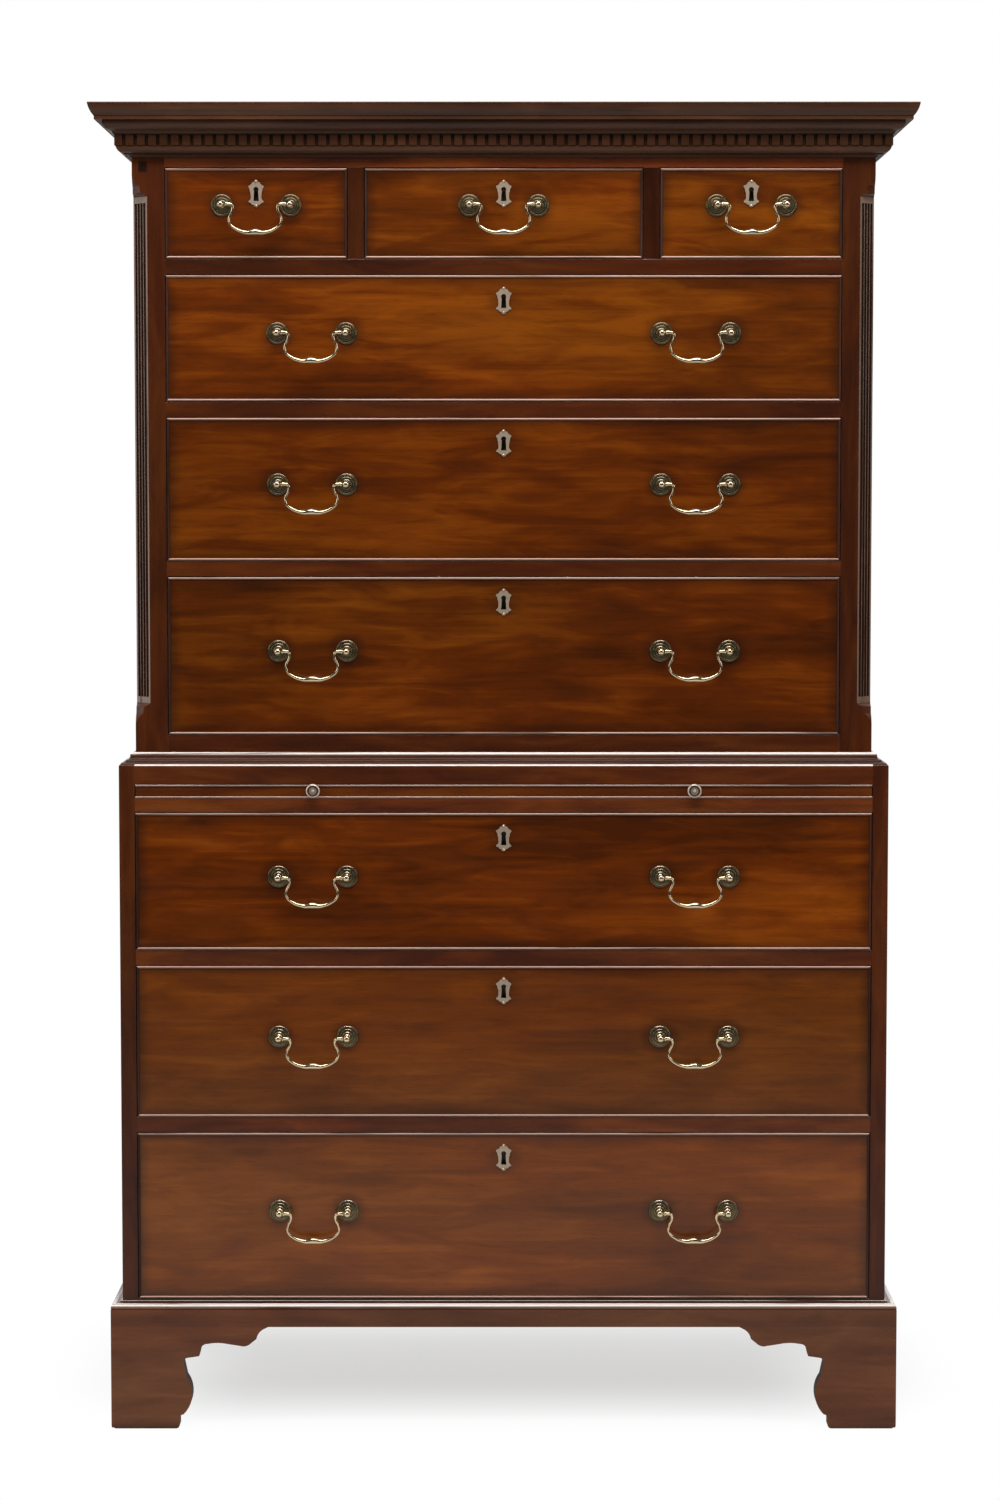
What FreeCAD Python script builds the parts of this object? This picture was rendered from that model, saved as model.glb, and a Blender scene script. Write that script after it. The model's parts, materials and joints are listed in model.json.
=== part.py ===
"""Chest on chest: two carcases, nine drawers, a brushing slide, fifteen swan-neck bails.

Row frame: millimetres, +Z up, the drawer fronts face -Y, X runs along the front.
The origin is on the floor, in the middle of the chest's width and depth.
"""
import FreeCAD, Part
import math
import operator
import os
import Sketcher

doc = FreeCAD.newDocument("chest_on_chest")

# ---------------------------------------------------------------- driving sizes
DRIVING_SIZES = (
    # the two carcases
    ("lower_width", 1034.0),
    ("lower_depth", 525.0),
    ("side_setback", 21.0),
    ("front_setback", 22.0),
    ("lower_side_thickness", 21.0),
    ("upper_side_thickness", 20.0),
    ("board_thickness", 20.0),
    ("back_thickness", 10.0),
    ("back_plank_gap", 1.0),
    ("top_edge_round", 3.0),
    # heights from the floor up: feet, openings and the rails between them
    ("foot_height", 139.6),
    ("lower_floor_height", 175.2),
    ("lower_deep_opening", 228.5),
    ("lower_middle_opening", 207.0),
    ("lower_shallow_opening", 186.8),
    ("slide_rail_height", 18.8),
    ("slide_opening", 19.1),
    ("lower_top_rail", 26.5),
    ("upper_bottom_rail", 38.1),
    ("upper_deep_opening", 213.7),
    ("upper_middle_opening", 192.8),
    ("upper_shallow_opening", 169.5),
    ("small_opening", 121.3),
    ("upper_top_rail", 81.2),
    ("rail_height", 20.3),
    ("rail_depth", 60.0),
    ("frieze_thickness", 22.0),
    # runners and guides behind the rails
    ("runner_width", 40.0),
    ("guide_height", 30.0),
    ("divider_width", 21.5),
    ("divider_centre", 197.3),
    ("stop_width", 45.0),
    ("stop_depth", 28.0),
    ("stop_height", 5.0),
    # corner posts of the upper case
    ("post_width", 43.5),
    ("post_depth", 40.0),
    ("cant_leg", 20.0),
    ("flute_radius", 2.5),
    ("flute_pitch", 5.8),
    ("flute_bottom", 992.0),
    ("flute_top", 1652.0),
    ("flute_band", 8.0),
    ("tongue_height", 31.0),
    ("tongue_shoulder", 14.0),
    ("tongue_step", 5.0),
    # cornice and dentils
    ("cornice_projection", 53.0),
    ("cornice_height", 71.5),
    ("dentil_projection", 20.8),
    ("dentil_backing", 16.0),
    ("dentil_height", 14.3),
    ("dentil_width", 10.6),
    ("dentil_pitch", 15.04),
    # waist and base mouldings
    ("waist_height", 15.0),
    ("waist_projection", 18.5),
    ("waist_clearance", 0.5),
    ("base_projection", 15.0),
    ("base_height", 33.4),
    # bracket feet: widths along the wall and heights of the sawn outline
    ("foot_board", 22.0),
    ("foot_sole", 92.5),
    ("foot_ankle", 97.8),
    ("foot_swell", 102.5),
    ("foot_neck", 98.5),
    ("foot_cusp", 119.5),
    ("foot_wing", 213.0),
    ("sole_round", 5.0),
    ("ankle_height", 19.3),
    ("swell_height", 72.0),
    ("neck_height", 91.0),
    ("cusp_height", 99.5),
    ("foot_block", 42.0),
    # drawers
    ("drawer_side_gap", 1.0),
    ("drawer_top_gap", 1.2),
    ("front_lift", 1.0),
    ("box_lift", 0.3),
    ("front_thickness", 22.0),
    ("bead_width", 3.0),
    ("bead_rise", 1.8),
    ("bead_bed", 7.0),
    ("lining_thickness", 10.0),
    ("bottom_thickness", 6.5),
    ("slip_width", 10.0),
    ("slip_height", 6.0),
    ("lining_drop", 8.0),
    ("back_drop", 14.0),
    ("drawer_back_gap", 38.0),
    ("dovetail_lap", 9.0),
    ("dovetail_pitch", 34.0),
    ("dovetail_flare", 2.6),
    # brushing slide
    ("slide_thickness", 17.9),
    ("slide_length", 440.0),
    ("slide_clamp", 60.0),
    ("slide_strip", 14.0),
    ("slide_bead", 1.1),
    ("knob_spread", 256.0),
    ("knob_rise", 1.2),
    ("knob_radius", 9.5),
    ("knob_reach", 13.0),
    ("knob_stem", 3.0),
    # handles
    ("handle_spread", 257.0),
    ("handle_rise", 6.5),
    ("small_handle_rise", 10.5),
    ("post_spacing", 92.0),
    ("post_reach", 22.0),
    ("post_stem", 3.0),
    ("ball_radius", 5.0),
    ("pin_radius", 1.75),
    ("pin_clearance", 0.05),
    ("pin_past_centre", 0.5),
    ("rosette_radius", 14.8),
    ("rosette_thickness", 3.2),
    ("nut_width", 11.0),
    ("nut_thickness", 4.0),
    ("bail_drop", 37.6),
    ("bail_shoulder", 29.8),
    ("bail_bow", 34.8),
    ("bail_end_radius", 2.6),
    ("bail_thin_radius", 1.55),
    ("bail_grip_radius", 3.6),
    ("bail_cusp_rise", 2.8),
    # escutcheons and locks
    ("escutcheon_drop", 34.5),
    ("escutcheon_width", 20.0),
    ("escutcheon_height", 37.0),
    ("escutcheon_thickness", 1.3),
    ("keyhole_radius", 3.3),
    ("keyhole_slot", 5.0),
    ("keyhole_height", 18.6),
    ("lock_width", 64.0),
    ("lock_height", 50.0),
    ("lock_thickness", 11.0),
    ("fit_gap", 0.1),
)

sheet = doc.addObject("Spreadsheet::Sheet", "sizes")
for row, (alias, number) in enumerate(DRIVING_SIZES, start=1):
    sheet.set("A%d" % row, alias)
    sheet.set("B%d" % row, str(number))
    sheet.setAlias("B%d" % row, alias)
doc.recompute()


class Size:
    """A length with its number now and the sheet expression that keeps it driven."""

    def __init__(self, value, text):
        self.value = value
        self.text = text

    def __add__(self, other):
        return joined(self, "+", other, operator.add)

    def __radd__(self, other):
        return joined(other, "+", self, operator.add)

    def __sub__(self, other):
        return joined(self, "-", other, operator.sub)

    def __rsub__(self, other):
        return joined(other, "-", self, operator.sub)

    def __mul__(self, other):
        return joined(self, "*", other, operator.mul)

    def __rmul__(self, other):
        return joined(other, "*", self, operator.mul)

    def __truediv__(self, other):
        return joined(self, "/", other, operator.truediv)

    def __neg__(self):
        return joined(0.0, "-", self, operator.sub)


def as_size(number):
    """A Size from a Size or a plain number."""
    if isinstance(number, Size):
        return number
    return Size(float(number), "%.6g" % number if number >= 0 else "(%.6g)" % number)


def joined(left, sign, right, work):
    """Two sizes joined by an operator, as a number and as an expression."""
    left = as_size(left)
    right = as_size(right)
    return Size(work(left.value, right.value), "(%s %s %s)" % (left.text, sign, right.text))


def larger(left, right):
    """The larger of two sizes."""
    return Size(max(left.value, right.value), "max(%s; %s)" % (left.text, right.text))


def span(start, end):
    """The straight distance between two (u, v) corners."""
    du = as_size(end[0]) - start[0]
    dv = as_size(end[1]) - start[1]
    text = "sqrt((%s) * (%s) + (%s) * (%s))" % (du.text, du.text, dv.text, dv.text)
    return Size(math.hypot(du.value, dv.value), text)


class Sizes:
    """Every driving size by its name in the sheet."""


s = Sizes()
for alias, number in DRIVING_SIZES:
    setattr(s, alias, Size(float(getattr(sheet, alias)), "sizes." + alias))


# ---------------------------------------------------------------- document helpers
def bind(item, prop, size):
    """Tie one property of a document object to the sheet."""
    item.setExpression(prop, as_size(size).text)


def put(item, at):
    """Tie an object's place to the sheet."""
    for letter, size in zip("xyz", at):
        bind(item, "Placement.Base." + letter, size)


def turn(item, axis, angle):
    """Turn an object about an axis through its own origin."""
    item.Placement = FreeCAD.Placement(FreeCAD.Vector(), FreeCAD.Rotation(FreeCAD.Vector(*axis), angle))


def board(name, low, high):
    """A plain rectangular board between two corners."""
    box = doc.addObject("Part::Box", name)
    for prop, start, end in zip(("Length", "Width", "Height"), low, high):
        bind(box, prop, as_size(end) - start)
    put(box, low)
    return box


def rod(name, radius, length, at, axis=None, angle=0):
    """A round bar from a point, along +Z before it is turned."""
    bar = doc.addObject("Part::Cylinder", name)
    bind(bar, "Radius", radius)
    bind(bar, "Height", length)
    if axis:
        turn(bar, axis, angle)
    put(bar, at)
    return bar


def group(name, items):
    """Several solids kept apart in one object."""
    bundle = doc.addObject("Part::Compound", name)
    bundle.Links = items
    return bundle


def placed(name, item, at, axis=None, angle=0):
    """One more copy of a finished piece, turned and put in its place."""
    copy = group(name, [item])
    if axis:
        turn(copy, axis, angle)
    put(copy, at)
    return copy


def cut(name, base, tools):
    """A piece less one or more others."""
    result = doc.addObject("Part::Cut", name)
    result.Base = base
    result.Tool = tools[0] if len(tools) == 1 else group(name + "_tools", tools)
    return result


def fused(name, items):
    """Several shapes made one solid."""
    result = doc.addObject("Part::MultiFuse", name)
    result.Shapes = items
    return result


def mirrored(name, item):
    """The same piece for the other end of the chest."""
    result = doc.addObject("Part::Mirroring", name)
    result.Source = item
    result.Normal = FreeCAD.Vector(1, 0, 0)
    return result


def origin_item(body, role):
    """One of a body's own origin planes or axes."""
    return [item for item in body.Origin.OriginFeatures if item.Role == role][0]


def sketch_on(body, role, outlines, offset=0.0):
    """A sketch of closed outlines on an origin plane, moved along the plane's normal."""
    sketch = body.newObject("Sketcher::SketchObject", body.Name + "_outline")
    sketch.AttachmentSupport = [(origin_item(body, role), "")]
    sketch.MapMode = "FlatFace"
    bind(sketch, "AttachmentOffset.Base.z", offset)
    for outline in outlines:
        draw(sketch, outline)
    return sketch


def draw(sketch, corners):
    """A closed outline. A corner is (u, v) or (u, v, bend): bend makes the next edge an arc
    whose radius is that many times its chord, to the right of the way round if positive."""
    first = sketch.GeometryCount
    count = len(corners)
    starts = []
    radii = []
    for index, corner in enumerate(corners):
        following = corners[(index + 1) % count]
        bend = corner[2] if len(corner) > 2 else 0.0
        start = FreeCAD.Vector(as_size(corner[0]).value, as_size(corner[1]).value, 0)
        end = FreeCAD.Vector(as_size(following[0]).value, as_size(following[1]).value, 0)
        if bend:
            radius = span(corner, following) * abs(bend)
            radii.append((first + index, radius))
            sketch.addGeometry(arc_between(start, end, radius.value, bend > 0), False)
            starts.append(1 if bend > 0 else 2)
        else:
            sketch.addGeometry(Part.LineSegment(start, end), False)
            starts.append(1)
    for index, corner in enumerate(corners):
        edge = first + index
        after = first + (index + 1) % count
        tail = 3 - starts[index]
        sketch.addConstraint(Sketcher.Constraint("Coincident", edge, tail, after,
                                                 starts[(index + 1) % count]))
        for kind, size in (("DistanceX", corner[0]), ("DistanceY", corner[1])):
            size = as_size(size)
            rule = Sketcher.Constraint(kind, -1, 1, edge, starts[index], size.value)
            number = sketch.addConstraint(rule)
            sketch.setExpression("Constraints[%d]" % number, size.text)
    for edge, radius in radii:
        number = sketch.addConstraint(Sketcher.Constraint("Radius", edge, radius.value))
        sketch.setExpression("Constraints[%d]" % number, radius.text)


def arc_between(start, end, radius, to_the_right):
    """The short arc from start to end that bulges to the right, or to the left, of the way."""
    middle = (start + end) * 0.5
    along = end - start
    half = along.Length / 2
    rise = math.sqrt(max(radius * radius - half * half, 0.0))
    right = FreeCAD.Vector(along.y, -along.x, 0).normalize()
    centre = middle - right * rise if to_the_right else middle + right * rise
    angles = [math.atan2(point.y - centre.y, point.x - centre.x) for point in (start, end)]
    if not to_the_right:
        angles.reverse()
    if angles[1] <= angles[0]:
        angles[1] += 2 * math.pi
    return Part.ArcOfCircle(Part.Circle(centre, FreeCAD.Vector(0, 0, 1), radius), *angles)


def ring(sketch, centre, radius):
    """A circle in a sketch, held by its centre and radius."""
    u, v = as_size(centre[0]), as_size(centre[1])
    middle = FreeCAD.Vector(u.value, v.value, 0)
    edge = sketch.addGeometry(Part.Circle(middle, FreeCAD.Vector(0, 0, 1), radius.value), False)
    for kind, size in (("DistanceX", u), ("DistanceY", v)):
        number = sketch.addConstraint(Sketcher.Constraint(kind, -1, 1, edge, 3, size.value))
        sketch.setExpression("Constraints[%d]" % number, size.text)
    number = sketch.addConstraint(Sketcher.Constraint("Radius", edge, radius.value))
    sketch.setExpression("Constraints[%d]" % number, radius.text)


def new_body(name):
    """An empty PartDesign body."""
    return doc.addObject("PartDesign::Body", name)


def feature(body, kind, sketch, **sizes):
    """A sketched feature with its sizes tied to the sheet."""
    item = body.newObject("PartDesign::" + kind, body.Name + "_" + kind.lower())
    if sketch:
        item.Profile = sketch
    for prop, size in sizes.items():
        bind(item, prop, size)
    return item


def padded(name, role, outline, length, offset=0.0, reverse=False):
    """A body padded from one closed outline."""
    body = new_body(name)
    pad = feature(body, "Pad", sketch_on(body, role, [outline], offset), Length=length)
    pad.Reversed = reverse
    return body


def turned(name, outline):
    """A body turned about its local Y axis from a half outline of (radius, y) corners."""
    body = new_body(name)
    sketch = sketch_on(body, "XY_Plane", [outline])
    revolution = feature(body, "Revolution", sketch)
    revolution.ReferenceAxis = (sketch, ["V_Axis"])
    revolution.Angle = 360.0
    return body


def repeated(body, original, direction, length, count):
    """A row of the same feature over a length."""
    pattern = body.newObject("PartDesign::LinearPattern", body.Name + "_row")
    pattern.Originals = [original]
    pattern.Direction = direction
    bind(pattern, "Length", length)
    pattern.Occurrences = count
    body.Tip = pattern
    return pattern


QUARTER = math.sqrt(0.5)  # radius of a quarter circle over its chord
GENTLE = 1.1              # radius of a gentle curve over its chord
SHALLOW = 2.3             # radius of a nearly straight curve over its chord


# ---------------------------------------------------------------- levels and planes
half_lower = s.lower_width / 2
half_upper = half_lower - s.side_setback
lower_inside = half_lower - s.lower_side_thickness
upper_inside = half_upper - s.upper_side_thickness
upper_opening = half_upper - s.post_width

handle_reach = s.post_reach + s.ball_radius
cornice_reach = s.cornice_projection - s.front_setback
front_reach = larger(cornice_reach, handle_reach)
back_plane = (s.lower_depth + front_reach) / 2
back_inside = back_plane - s.back_thickness
lower_front = back_plane - s.lower_depth
upper_front = lower_front + s.front_setback
lower_drawer_length = back_inside - s.drawer_back_gap - lower_front
upper_drawer_length = back_inside - s.drawer_back_gap - upper_front

lower_deep_floor = s.lower_floor_height
lower_middle_floor = lower_deep_floor + s.lower_deep_opening + s.rail_height
lower_shallow_floor = lower_middle_floor + s.lower_middle_opening + s.rail_height
slide_floor = lower_shallow_floor + s.lower_shallow_opening + s.slide_rail_height
slide_ceiling = slide_floor + s.slide_opening
lower_top = slide_ceiling + s.lower_top_rail
upper_deep_floor = lower_top + s.upper_bottom_rail
upper_middle_floor = upper_deep_floor + s.upper_deep_opening + s.rail_height
upper_shallow_floor = upper_middle_floor + s.upper_middle_opening + s.rail_height
small_floor = upper_shallow_floor + s.upper_shallow_opening + s.rail_height
small_ceiling = small_floor + s.small_opening
chest_top = small_ceiling + s.upper_top_rail

sub_parts = {}


def sub_part(name, items):
    """A finished sub-part under its own label, which is also its file's name."""
    item = group(name, items)
    item.Label = name
    sub_parts[name] = item
    return item


# ---------------------------------------------------------------- carcase joinery
def back_planks(name, half_width, low, high):
    """Five upright planks between the sides."""
    count = 5
    width = (half_width * 2 - s.back_plank_gap * (count - 1)) / count
    planks = []
    for number in range(count):
        left = -half_width + (width + s.back_plank_gap) * number
        planks.append(board("%s_%d" % (name, number), (left, back_inside, low),
                            (left + width, back_plane, high)))
    return planks


def stops_for(name, front, floor, centres):
    """Small blocks that stop a drawer's front flush with the case."""
    start = front + s.front_thickness + s.box_lift
    return [board("%s_stop_%d" % (name, number), (centre - s.stop_width / 2, start, floor),
                  (centre + s.stop_width / 2, start + s.stop_depth, floor + s.stop_height))
            for number, centre in enumerate(centres)]


def side_pair(name, front, edges, low, high):
    """The same board on the left and the right, from a rail back to the back boards."""
    return [between("%s_%s" % (name, side), [edge * sign for edge in edges],
                    (front + s.rail_depth, back_inside), (low, high))
            for side, sign in (("left", -1), ("right", 1))]


def between(name, xs, ys, zs):
    """A board whose two x edges may be given in either order."""
    low_x, high_x = sorted(xs, key=lambda size: as_size(size).value)
    return board(name, (low_x, ys[0], zs[0]), (high_x, ys[1], zs[1]))


# ---------------------------------------------------------------- lower case
def lower_side(name):
    """A side board with its top edge rounded at the front and outside, at x = 0 inwards."""
    body = padded(name, "YZ_Plane",
                  [(lower_front, s.foot_height), (back_plane, s.foot_height),
                   (back_plane, lower_top), (lower_front, lower_top)], s.lower_side_thickness)
    doc.recompute()
    base = body.Tip
    names = []
    for number, edge in enumerate(base.Shape.Edges, start=1):
        box = edge.BoundBox
        at_top = box.ZMin > lower_top.value - 0.01
        along_outside = box.XMax < 0.01
        along_front = box.YMax < lower_front.value + 0.01
        if at_top and (along_outside or along_front):
            names.append("Edge%d" % number)
    fillet = feature(body, "Fillet", None, Radius=s.top_edge_round)
    fillet.Base = (base, names)
    return body


left_side = lower_side("lower_side")
left_board = placed("lower_left_side", left_side, (-half_lower, 0, 0))
sub_part("lower_sides", [left_board, mirrored("lower_right_side", left_board)])

sub_part("lower_boards", [
    board("lower_bottom_board", (-lower_inside, lower_front + s.rail_depth,
                                 lower_deep_floor - s.board_thickness),
          (lower_inside, back_inside, lower_deep_floor)),
    board("lower_top_board", (-lower_inside, lower_front + s.rail_depth, lower_top - s.board_thickness),
          (lower_inside, back_inside, lower_top)),
])
sub_part("lower_back_boards",
         back_planks("lower_plank", lower_inside, lower_deep_floor - s.board_thickness, lower_top))


def rail(name, half_width, front, level, height=s.rail_height):
    """A front rail between the sides or posts, its top face at the level of a drawer's floor."""
    return board(name, (-half_width, front, level - height), (half_width, front + s.rail_depth, level))


top_rail_outline = [
    (lower_front, slide_ceiling), (lower_front + s.rail_depth, slide_ceiling),
    (lower_front + s.rail_depth, lower_top), (lower_front + s.top_edge_round, lower_top, QUARTER),
    (lower_front, lower_top - s.top_edge_round),
]
lower_rails = [
    rail("lower_bottom_rail", lower_inside, lower_front, lower_deep_floor, s.board_thickness),
    rail("lower_middle_rail", lower_inside, lower_front, lower_middle_floor),
    rail("lower_shallow_rail", lower_inside, lower_front, lower_shallow_floor),
    rail("slide_rail", lower_inside, lower_front, slide_floor, s.slide_rail_height),
    padded("lower_top_rail_board", "YZ_Plane", top_rail_outline, lower_inside * 2, -lower_inside),
]
stop_centres = (-s.handle_spread, s.handle_spread)
for level_name, level in (("lower_deep", lower_deep_floor), ("lower_middle", lower_middle_floor),
                          ("lower_shallow", lower_shallow_floor)):
    lower_rails += stops_for(level_name, lower_front, level, stop_centres)
sub_part("lower_front_rails", lower_rails)

lower_runner_pieces = []
lower_runner_edges = (lower_inside, lower_inside - s.runner_width)
for level_name, level, height in (("lower_middle", lower_middle_floor, s.rail_height),
                                  ("lower_shallow", lower_shallow_floor, s.rail_height),
                                  ("slide", slide_floor, s.slide_rail_height)):
    lower_runner_pieces += side_pair(level_name + "_runner", lower_front, lower_runner_edges,
                                     level - height, level)
sub_part("lower_runners", lower_runner_pieces)


# ---------------------------------------------------------------- mitred mouldings
def moulding_run(name, outline, length, projection, start_mitre, end_mitre):
    """A moulding from x = 0 to its length with its back on y = 0, mitred where it turns a corner."""
    body = new_body(name)
    start = -projection if start_mitre else as_size(0.0)
    extra = projection * (int(start_mitre) + int(end_mitre))
    feature(body, "Pad", sketch_on(body, "YZ_Plane", [outline], start), Length=length + extra)
    waste = []
    if start_mitre:
        waste.append([(0, 0), (-projection * 2, 0), (-projection * 2, -projection * 2)])
    if end_mitre:
        waste.append([(length, 0), (length + projection * 2, -projection * 2),
                      (length + projection * 2, 0)])
    for triangle in waste:
        pocket = feature(body, "Pocket", sketch_on(body, "XY_Plane", [triangle]))
        pocket.Type = "ThroughAll"
        pocket.Midplane = True
    return body


def wrapped_moulding(name, outline, projection, half_width, front, low):
    """Front length and two returns of one moulding round the front of a carcase."""
    depth = back_plane - front
    runs = {
        "front": moulding_run(name + "_front", outline, half_width * 2, projection, True, True),
        "right": moulding_run(name + "_right", outline, depth, projection, True, False),
        "left": moulding_run(name + "_left", outline, depth, projection, False, True),
    }
    return [
        placed(name + "_front_run", runs["front"], (-half_width, front, low)),
        placed(name + "_right_run", runs["right"], (half_width, front, low), (0, 0, 1), 90),
        placed(name + "_left_run", runs["left"], (-half_width, back_plane, low), (0, 0, 1), -90),
    ]


def section(corners):
    """Corners given as (projection, height[, bend]) turned into a sketch outline facing -Y."""
    return [(-as_size(corner[0]),) + tuple(corner[1:]) for corner in corners]


waist_outline = section([
    (0, 0), (0, s.waist_height), (s.waist_projection * 0.10, s.waist_height, QUARTER),
    (s.waist_projection * 0.36, s.waist_height * 0.69),
    (s.waist_projection * 0.36, s.waist_height * 0.60, -QUARTER),
    (s.waist_projection * 0.55, s.waist_height * 0.38), (s.waist_projection * 0.62, s.waist_height * 0.38),
    (s.waist_projection * 0.62, s.waist_height * 0.31, -GENTLE),
    (s.waist_projection * 0.89, s.waist_height * 0.12), (s.waist_projection * 0.95, s.waist_height * 0.12),
    (s.waist_projection * 0.95, s.waist_height * 0.06), (s.waist_projection, s.waist_height * 0.06),
    (s.waist_projection, 0),
])
sub_part("waist_moulding", wrapped_moulding(
    "waist", waist_outline, s.waist_projection, half_upper + s.waist_clearance,
    upper_front - s.waist_clearance, lower_top))

base_outline = section([
    (0, 0), (0, s.base_height), (s.base_projection * 0.12, s.base_height, -GENTLE),
    (s.base_projection * 0.53, s.base_height - 2.2), (s.base_projection * 0.60, s.base_height - 2.2, 0.72),
    (s.base_projection, s.base_height - 8.2), (s.base_projection * 0.94, s.base_height - 8.7),
    (s.base_projection * 0.94, s.base_height - 9.3), (s.base_projection, s.base_height - 9.8),
    (s.base_projection, 0),
])
sub_part("base_moulding", wrapped_moulding(
    "base", base_outline, s.base_projection, half_lower, lower_front, s.foot_height))


# ---------------------------------------------------------------- bracket feet
def wave(across, up):
    """A corner of the sawn wing, from its cusp (0, 0) to its tip (1, 1)."""
    return (s.foot_cusp + (s.foot_wing - s.foot_cusp) * across,
            s.cusp_height + (s.foot_height - s.cusp_height) * up)


def bracket(name, mitre):
    """A bracket's sawn board from x = 0 inwards along the wall, its outer face on y = 0."""
    neck_round = (s.cusp_height - s.neck_height) * 0.75
    outline = [
        (0, s.sole_round), (s.sole_round, 0), (s.foot_sole - s.sole_round, 0, QUARTER),
        (s.foot_sole, s.sole_round), (s.foot_sole, s.ankle_height - (s.foot_ankle - s.foot_sole), -QUARTER),
        (s.foot_ankle, s.ankle_height, 0.77), (s.foot_swell, s.swell_height),
        (s.foot_neck, s.neck_height, -QUARTER),
        (s.foot_neck + neck_round, s.neck_height + neck_round), wave(0, 0),
        wave(0.02, 0.2) + (-QUARTER,), wave(0.12, 0.42) + (-SHALLOW,), wave(0.43, 0.41),
        wave(0.60, 0.35) + (GENTLE,), wave(0.73, 0.40), wave(0.83, 0.59) + (-GENTLE,),
        wave(0.94, 0.93), wave(1, 1), (0, s.foot_height),
    ]
    body = padded(name, "XZ_Plane", outline, s.foot_board, reverse=True)
    if mitre:
        corner = [(0, 0), (s.foot_board, s.foot_board), (0, s.foot_board)]
        pocket = feature(body, "Pocket", sketch_on(body, "XY_Plane", [corner]))
        pocket.Type = "ThroughAll"
        pocket.Midplane = True
    return body


foot_half = half_lower + s.base_projection
foot_front = lower_front - s.base_projection
rear_block = back_plane - s.foot_board
front_bracket = bracket("front_bracket", True)
rear_bracket = bracket("rear_bracket", False)
front_bracket_flipped = mirrored("front_bracket_flipped", front_bracket)
left_feet = [
    placed("front_left_front_bracket", front_bracket, (-foot_half, foot_front, 0)),
    placed("front_left_side_bracket", front_bracket_flipped, (-foot_half, foot_front, 0), (0, 0, 1), -90),
    placed("rear_left_side_bracket", rear_bracket, (-foot_half, back_plane, 0), (0, 0, 1), -90),
    board("rear_left_board", (-foot_half + s.foot_board, rear_block, 0),
          (-foot_half + s.foot_ankle, back_plane, s.foot_height)),
    board("front_left_block", (-foot_half + s.foot_board, foot_front + s.foot_board, s.box_lift),
          (-foot_half + s.foot_board + s.foot_block, foot_front + s.foot_board + s.foot_block,
           s.foot_height)),
    board("rear_left_block", (-foot_half + s.foot_board, rear_block - s.foot_block, s.box_lift),
          (-foot_half + s.foot_board + s.foot_block, rear_block, s.foot_height)),
]
sub_part("bracket_feet", left_feet + [mirrored(item.Name + "_mirror", item) for item in left_feet])


# ---------------------------------------------------------------- upper case
upper_left_side = board("upper_left_side", (-half_upper, upper_front + s.post_depth, lower_top),
                        (-upper_inside, back_plane, chest_top))
sub_part("upper_sides", [upper_left_side, mirrored("upper_right_side", upper_left_side)])

cant_depth = s.cant_leg * QUARTER
cant_low = s.flute_bottom - s.flute_band
cant_high = s.flute_top + s.flute_band
tongue_bottom = cant_low - s.tongue_height
tongue_top = cant_high + s.tongue_height
outside = -s.cant_leg
cant_outline = [
    (outside, tongue_bottom), (0, tongue_bottom, -SHALLOW * 0.6),
    (cant_depth * 0.50, cant_low - s.tongue_shoulder), (cant_depth * 0.58, cant_low - s.tongue_step, GENTLE),
    (cant_depth, cant_low), (cant_depth, cant_high, GENTLE),
    (cant_depth * 0.58, cant_high + s.tongue_step),
    (cant_depth * 0.50, cant_high + s.tongue_shoulder, -SHALLOW * 0.6),
    (0, tongue_top), (outside, tongue_top),
]
cant_waste = placed("cant_waste", padded("cant_cutter", "XZ_Plane", cant_outline, s.cant_leg * 4,
                                         -s.cant_leg * 2),
                    (-half_upper, upper_front, 0), (0, 0, 1), 45)
flute_count = 4
flutes = []
for number in range(flute_count):
    shift = s.flute_pitch * ((number - (flute_count - 1) / 2) * QUARTER)
    flutes.append(rod("flute_%d" % number, s.flute_radius, s.flute_top - s.flute_bottom,
                      (-half_upper + s.cant_leg / 2 + shift, upper_front + s.cant_leg / 2 - shift,
                       s.flute_bottom)))
post_blank = board("corner_post_blank", (-half_upper, upper_front, lower_top),
                   (-upper_opening, upper_front + s.post_depth, chest_top))
left_post = cut("left_corner_post", post_blank, [cant_waste] + flutes)
sub_part("canted_corners", [left_post, mirrored("right_corner_post", left_post)])

sub_part("upper_boards", [
    board("upper_bottom_board", (-upper_inside, upper_front + s.rail_depth,
                                 upper_deep_floor - s.board_thickness),
          (upper_inside, back_inside, upper_deep_floor)),
    board("upper_top_board", (-upper_inside, upper_front + s.post_depth, chest_top - s.board_thickness),
          (upper_inside, back_inside, chest_top)),
])
sub_part("upper_back_boards",
         back_planks("upper_plank", upper_inside, upper_deep_floor - s.board_thickness, chest_top))

upper_rails = [
    rail("upper_bottom_rail_board", upper_opening, upper_front, upper_deep_floor, s.upper_bottom_rail),
    rail("upper_middle_rail", upper_opening, upper_front, upper_middle_floor),
    rail("upper_shallow_rail", upper_opening, upper_front, upper_shallow_floor),
    rail("small_drawer_rail", upper_opening, upper_front, small_floor),
    board("frieze_rail", (-upper_opening, upper_front, small_ceiling),
          (upper_opening, upper_front + s.frieze_thickness, chest_top)),
    board("upper_top_rail_board", (-upper_opening, upper_front + s.frieze_thickness,
                                   chest_top - s.board_thickness),
          (upper_opening, upper_front + s.post_depth, chest_top)),
]
for side, sign in (("left", -1), ("right", 1)):
    centre = s.divider_centre * sign
    upper_rails.append(board(side + "_divider", (centre - s.divider_width / 2, upper_front, small_floor),
                             (centre + s.divider_width / 2, upper_front + s.rail_depth, small_ceiling)))
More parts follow.
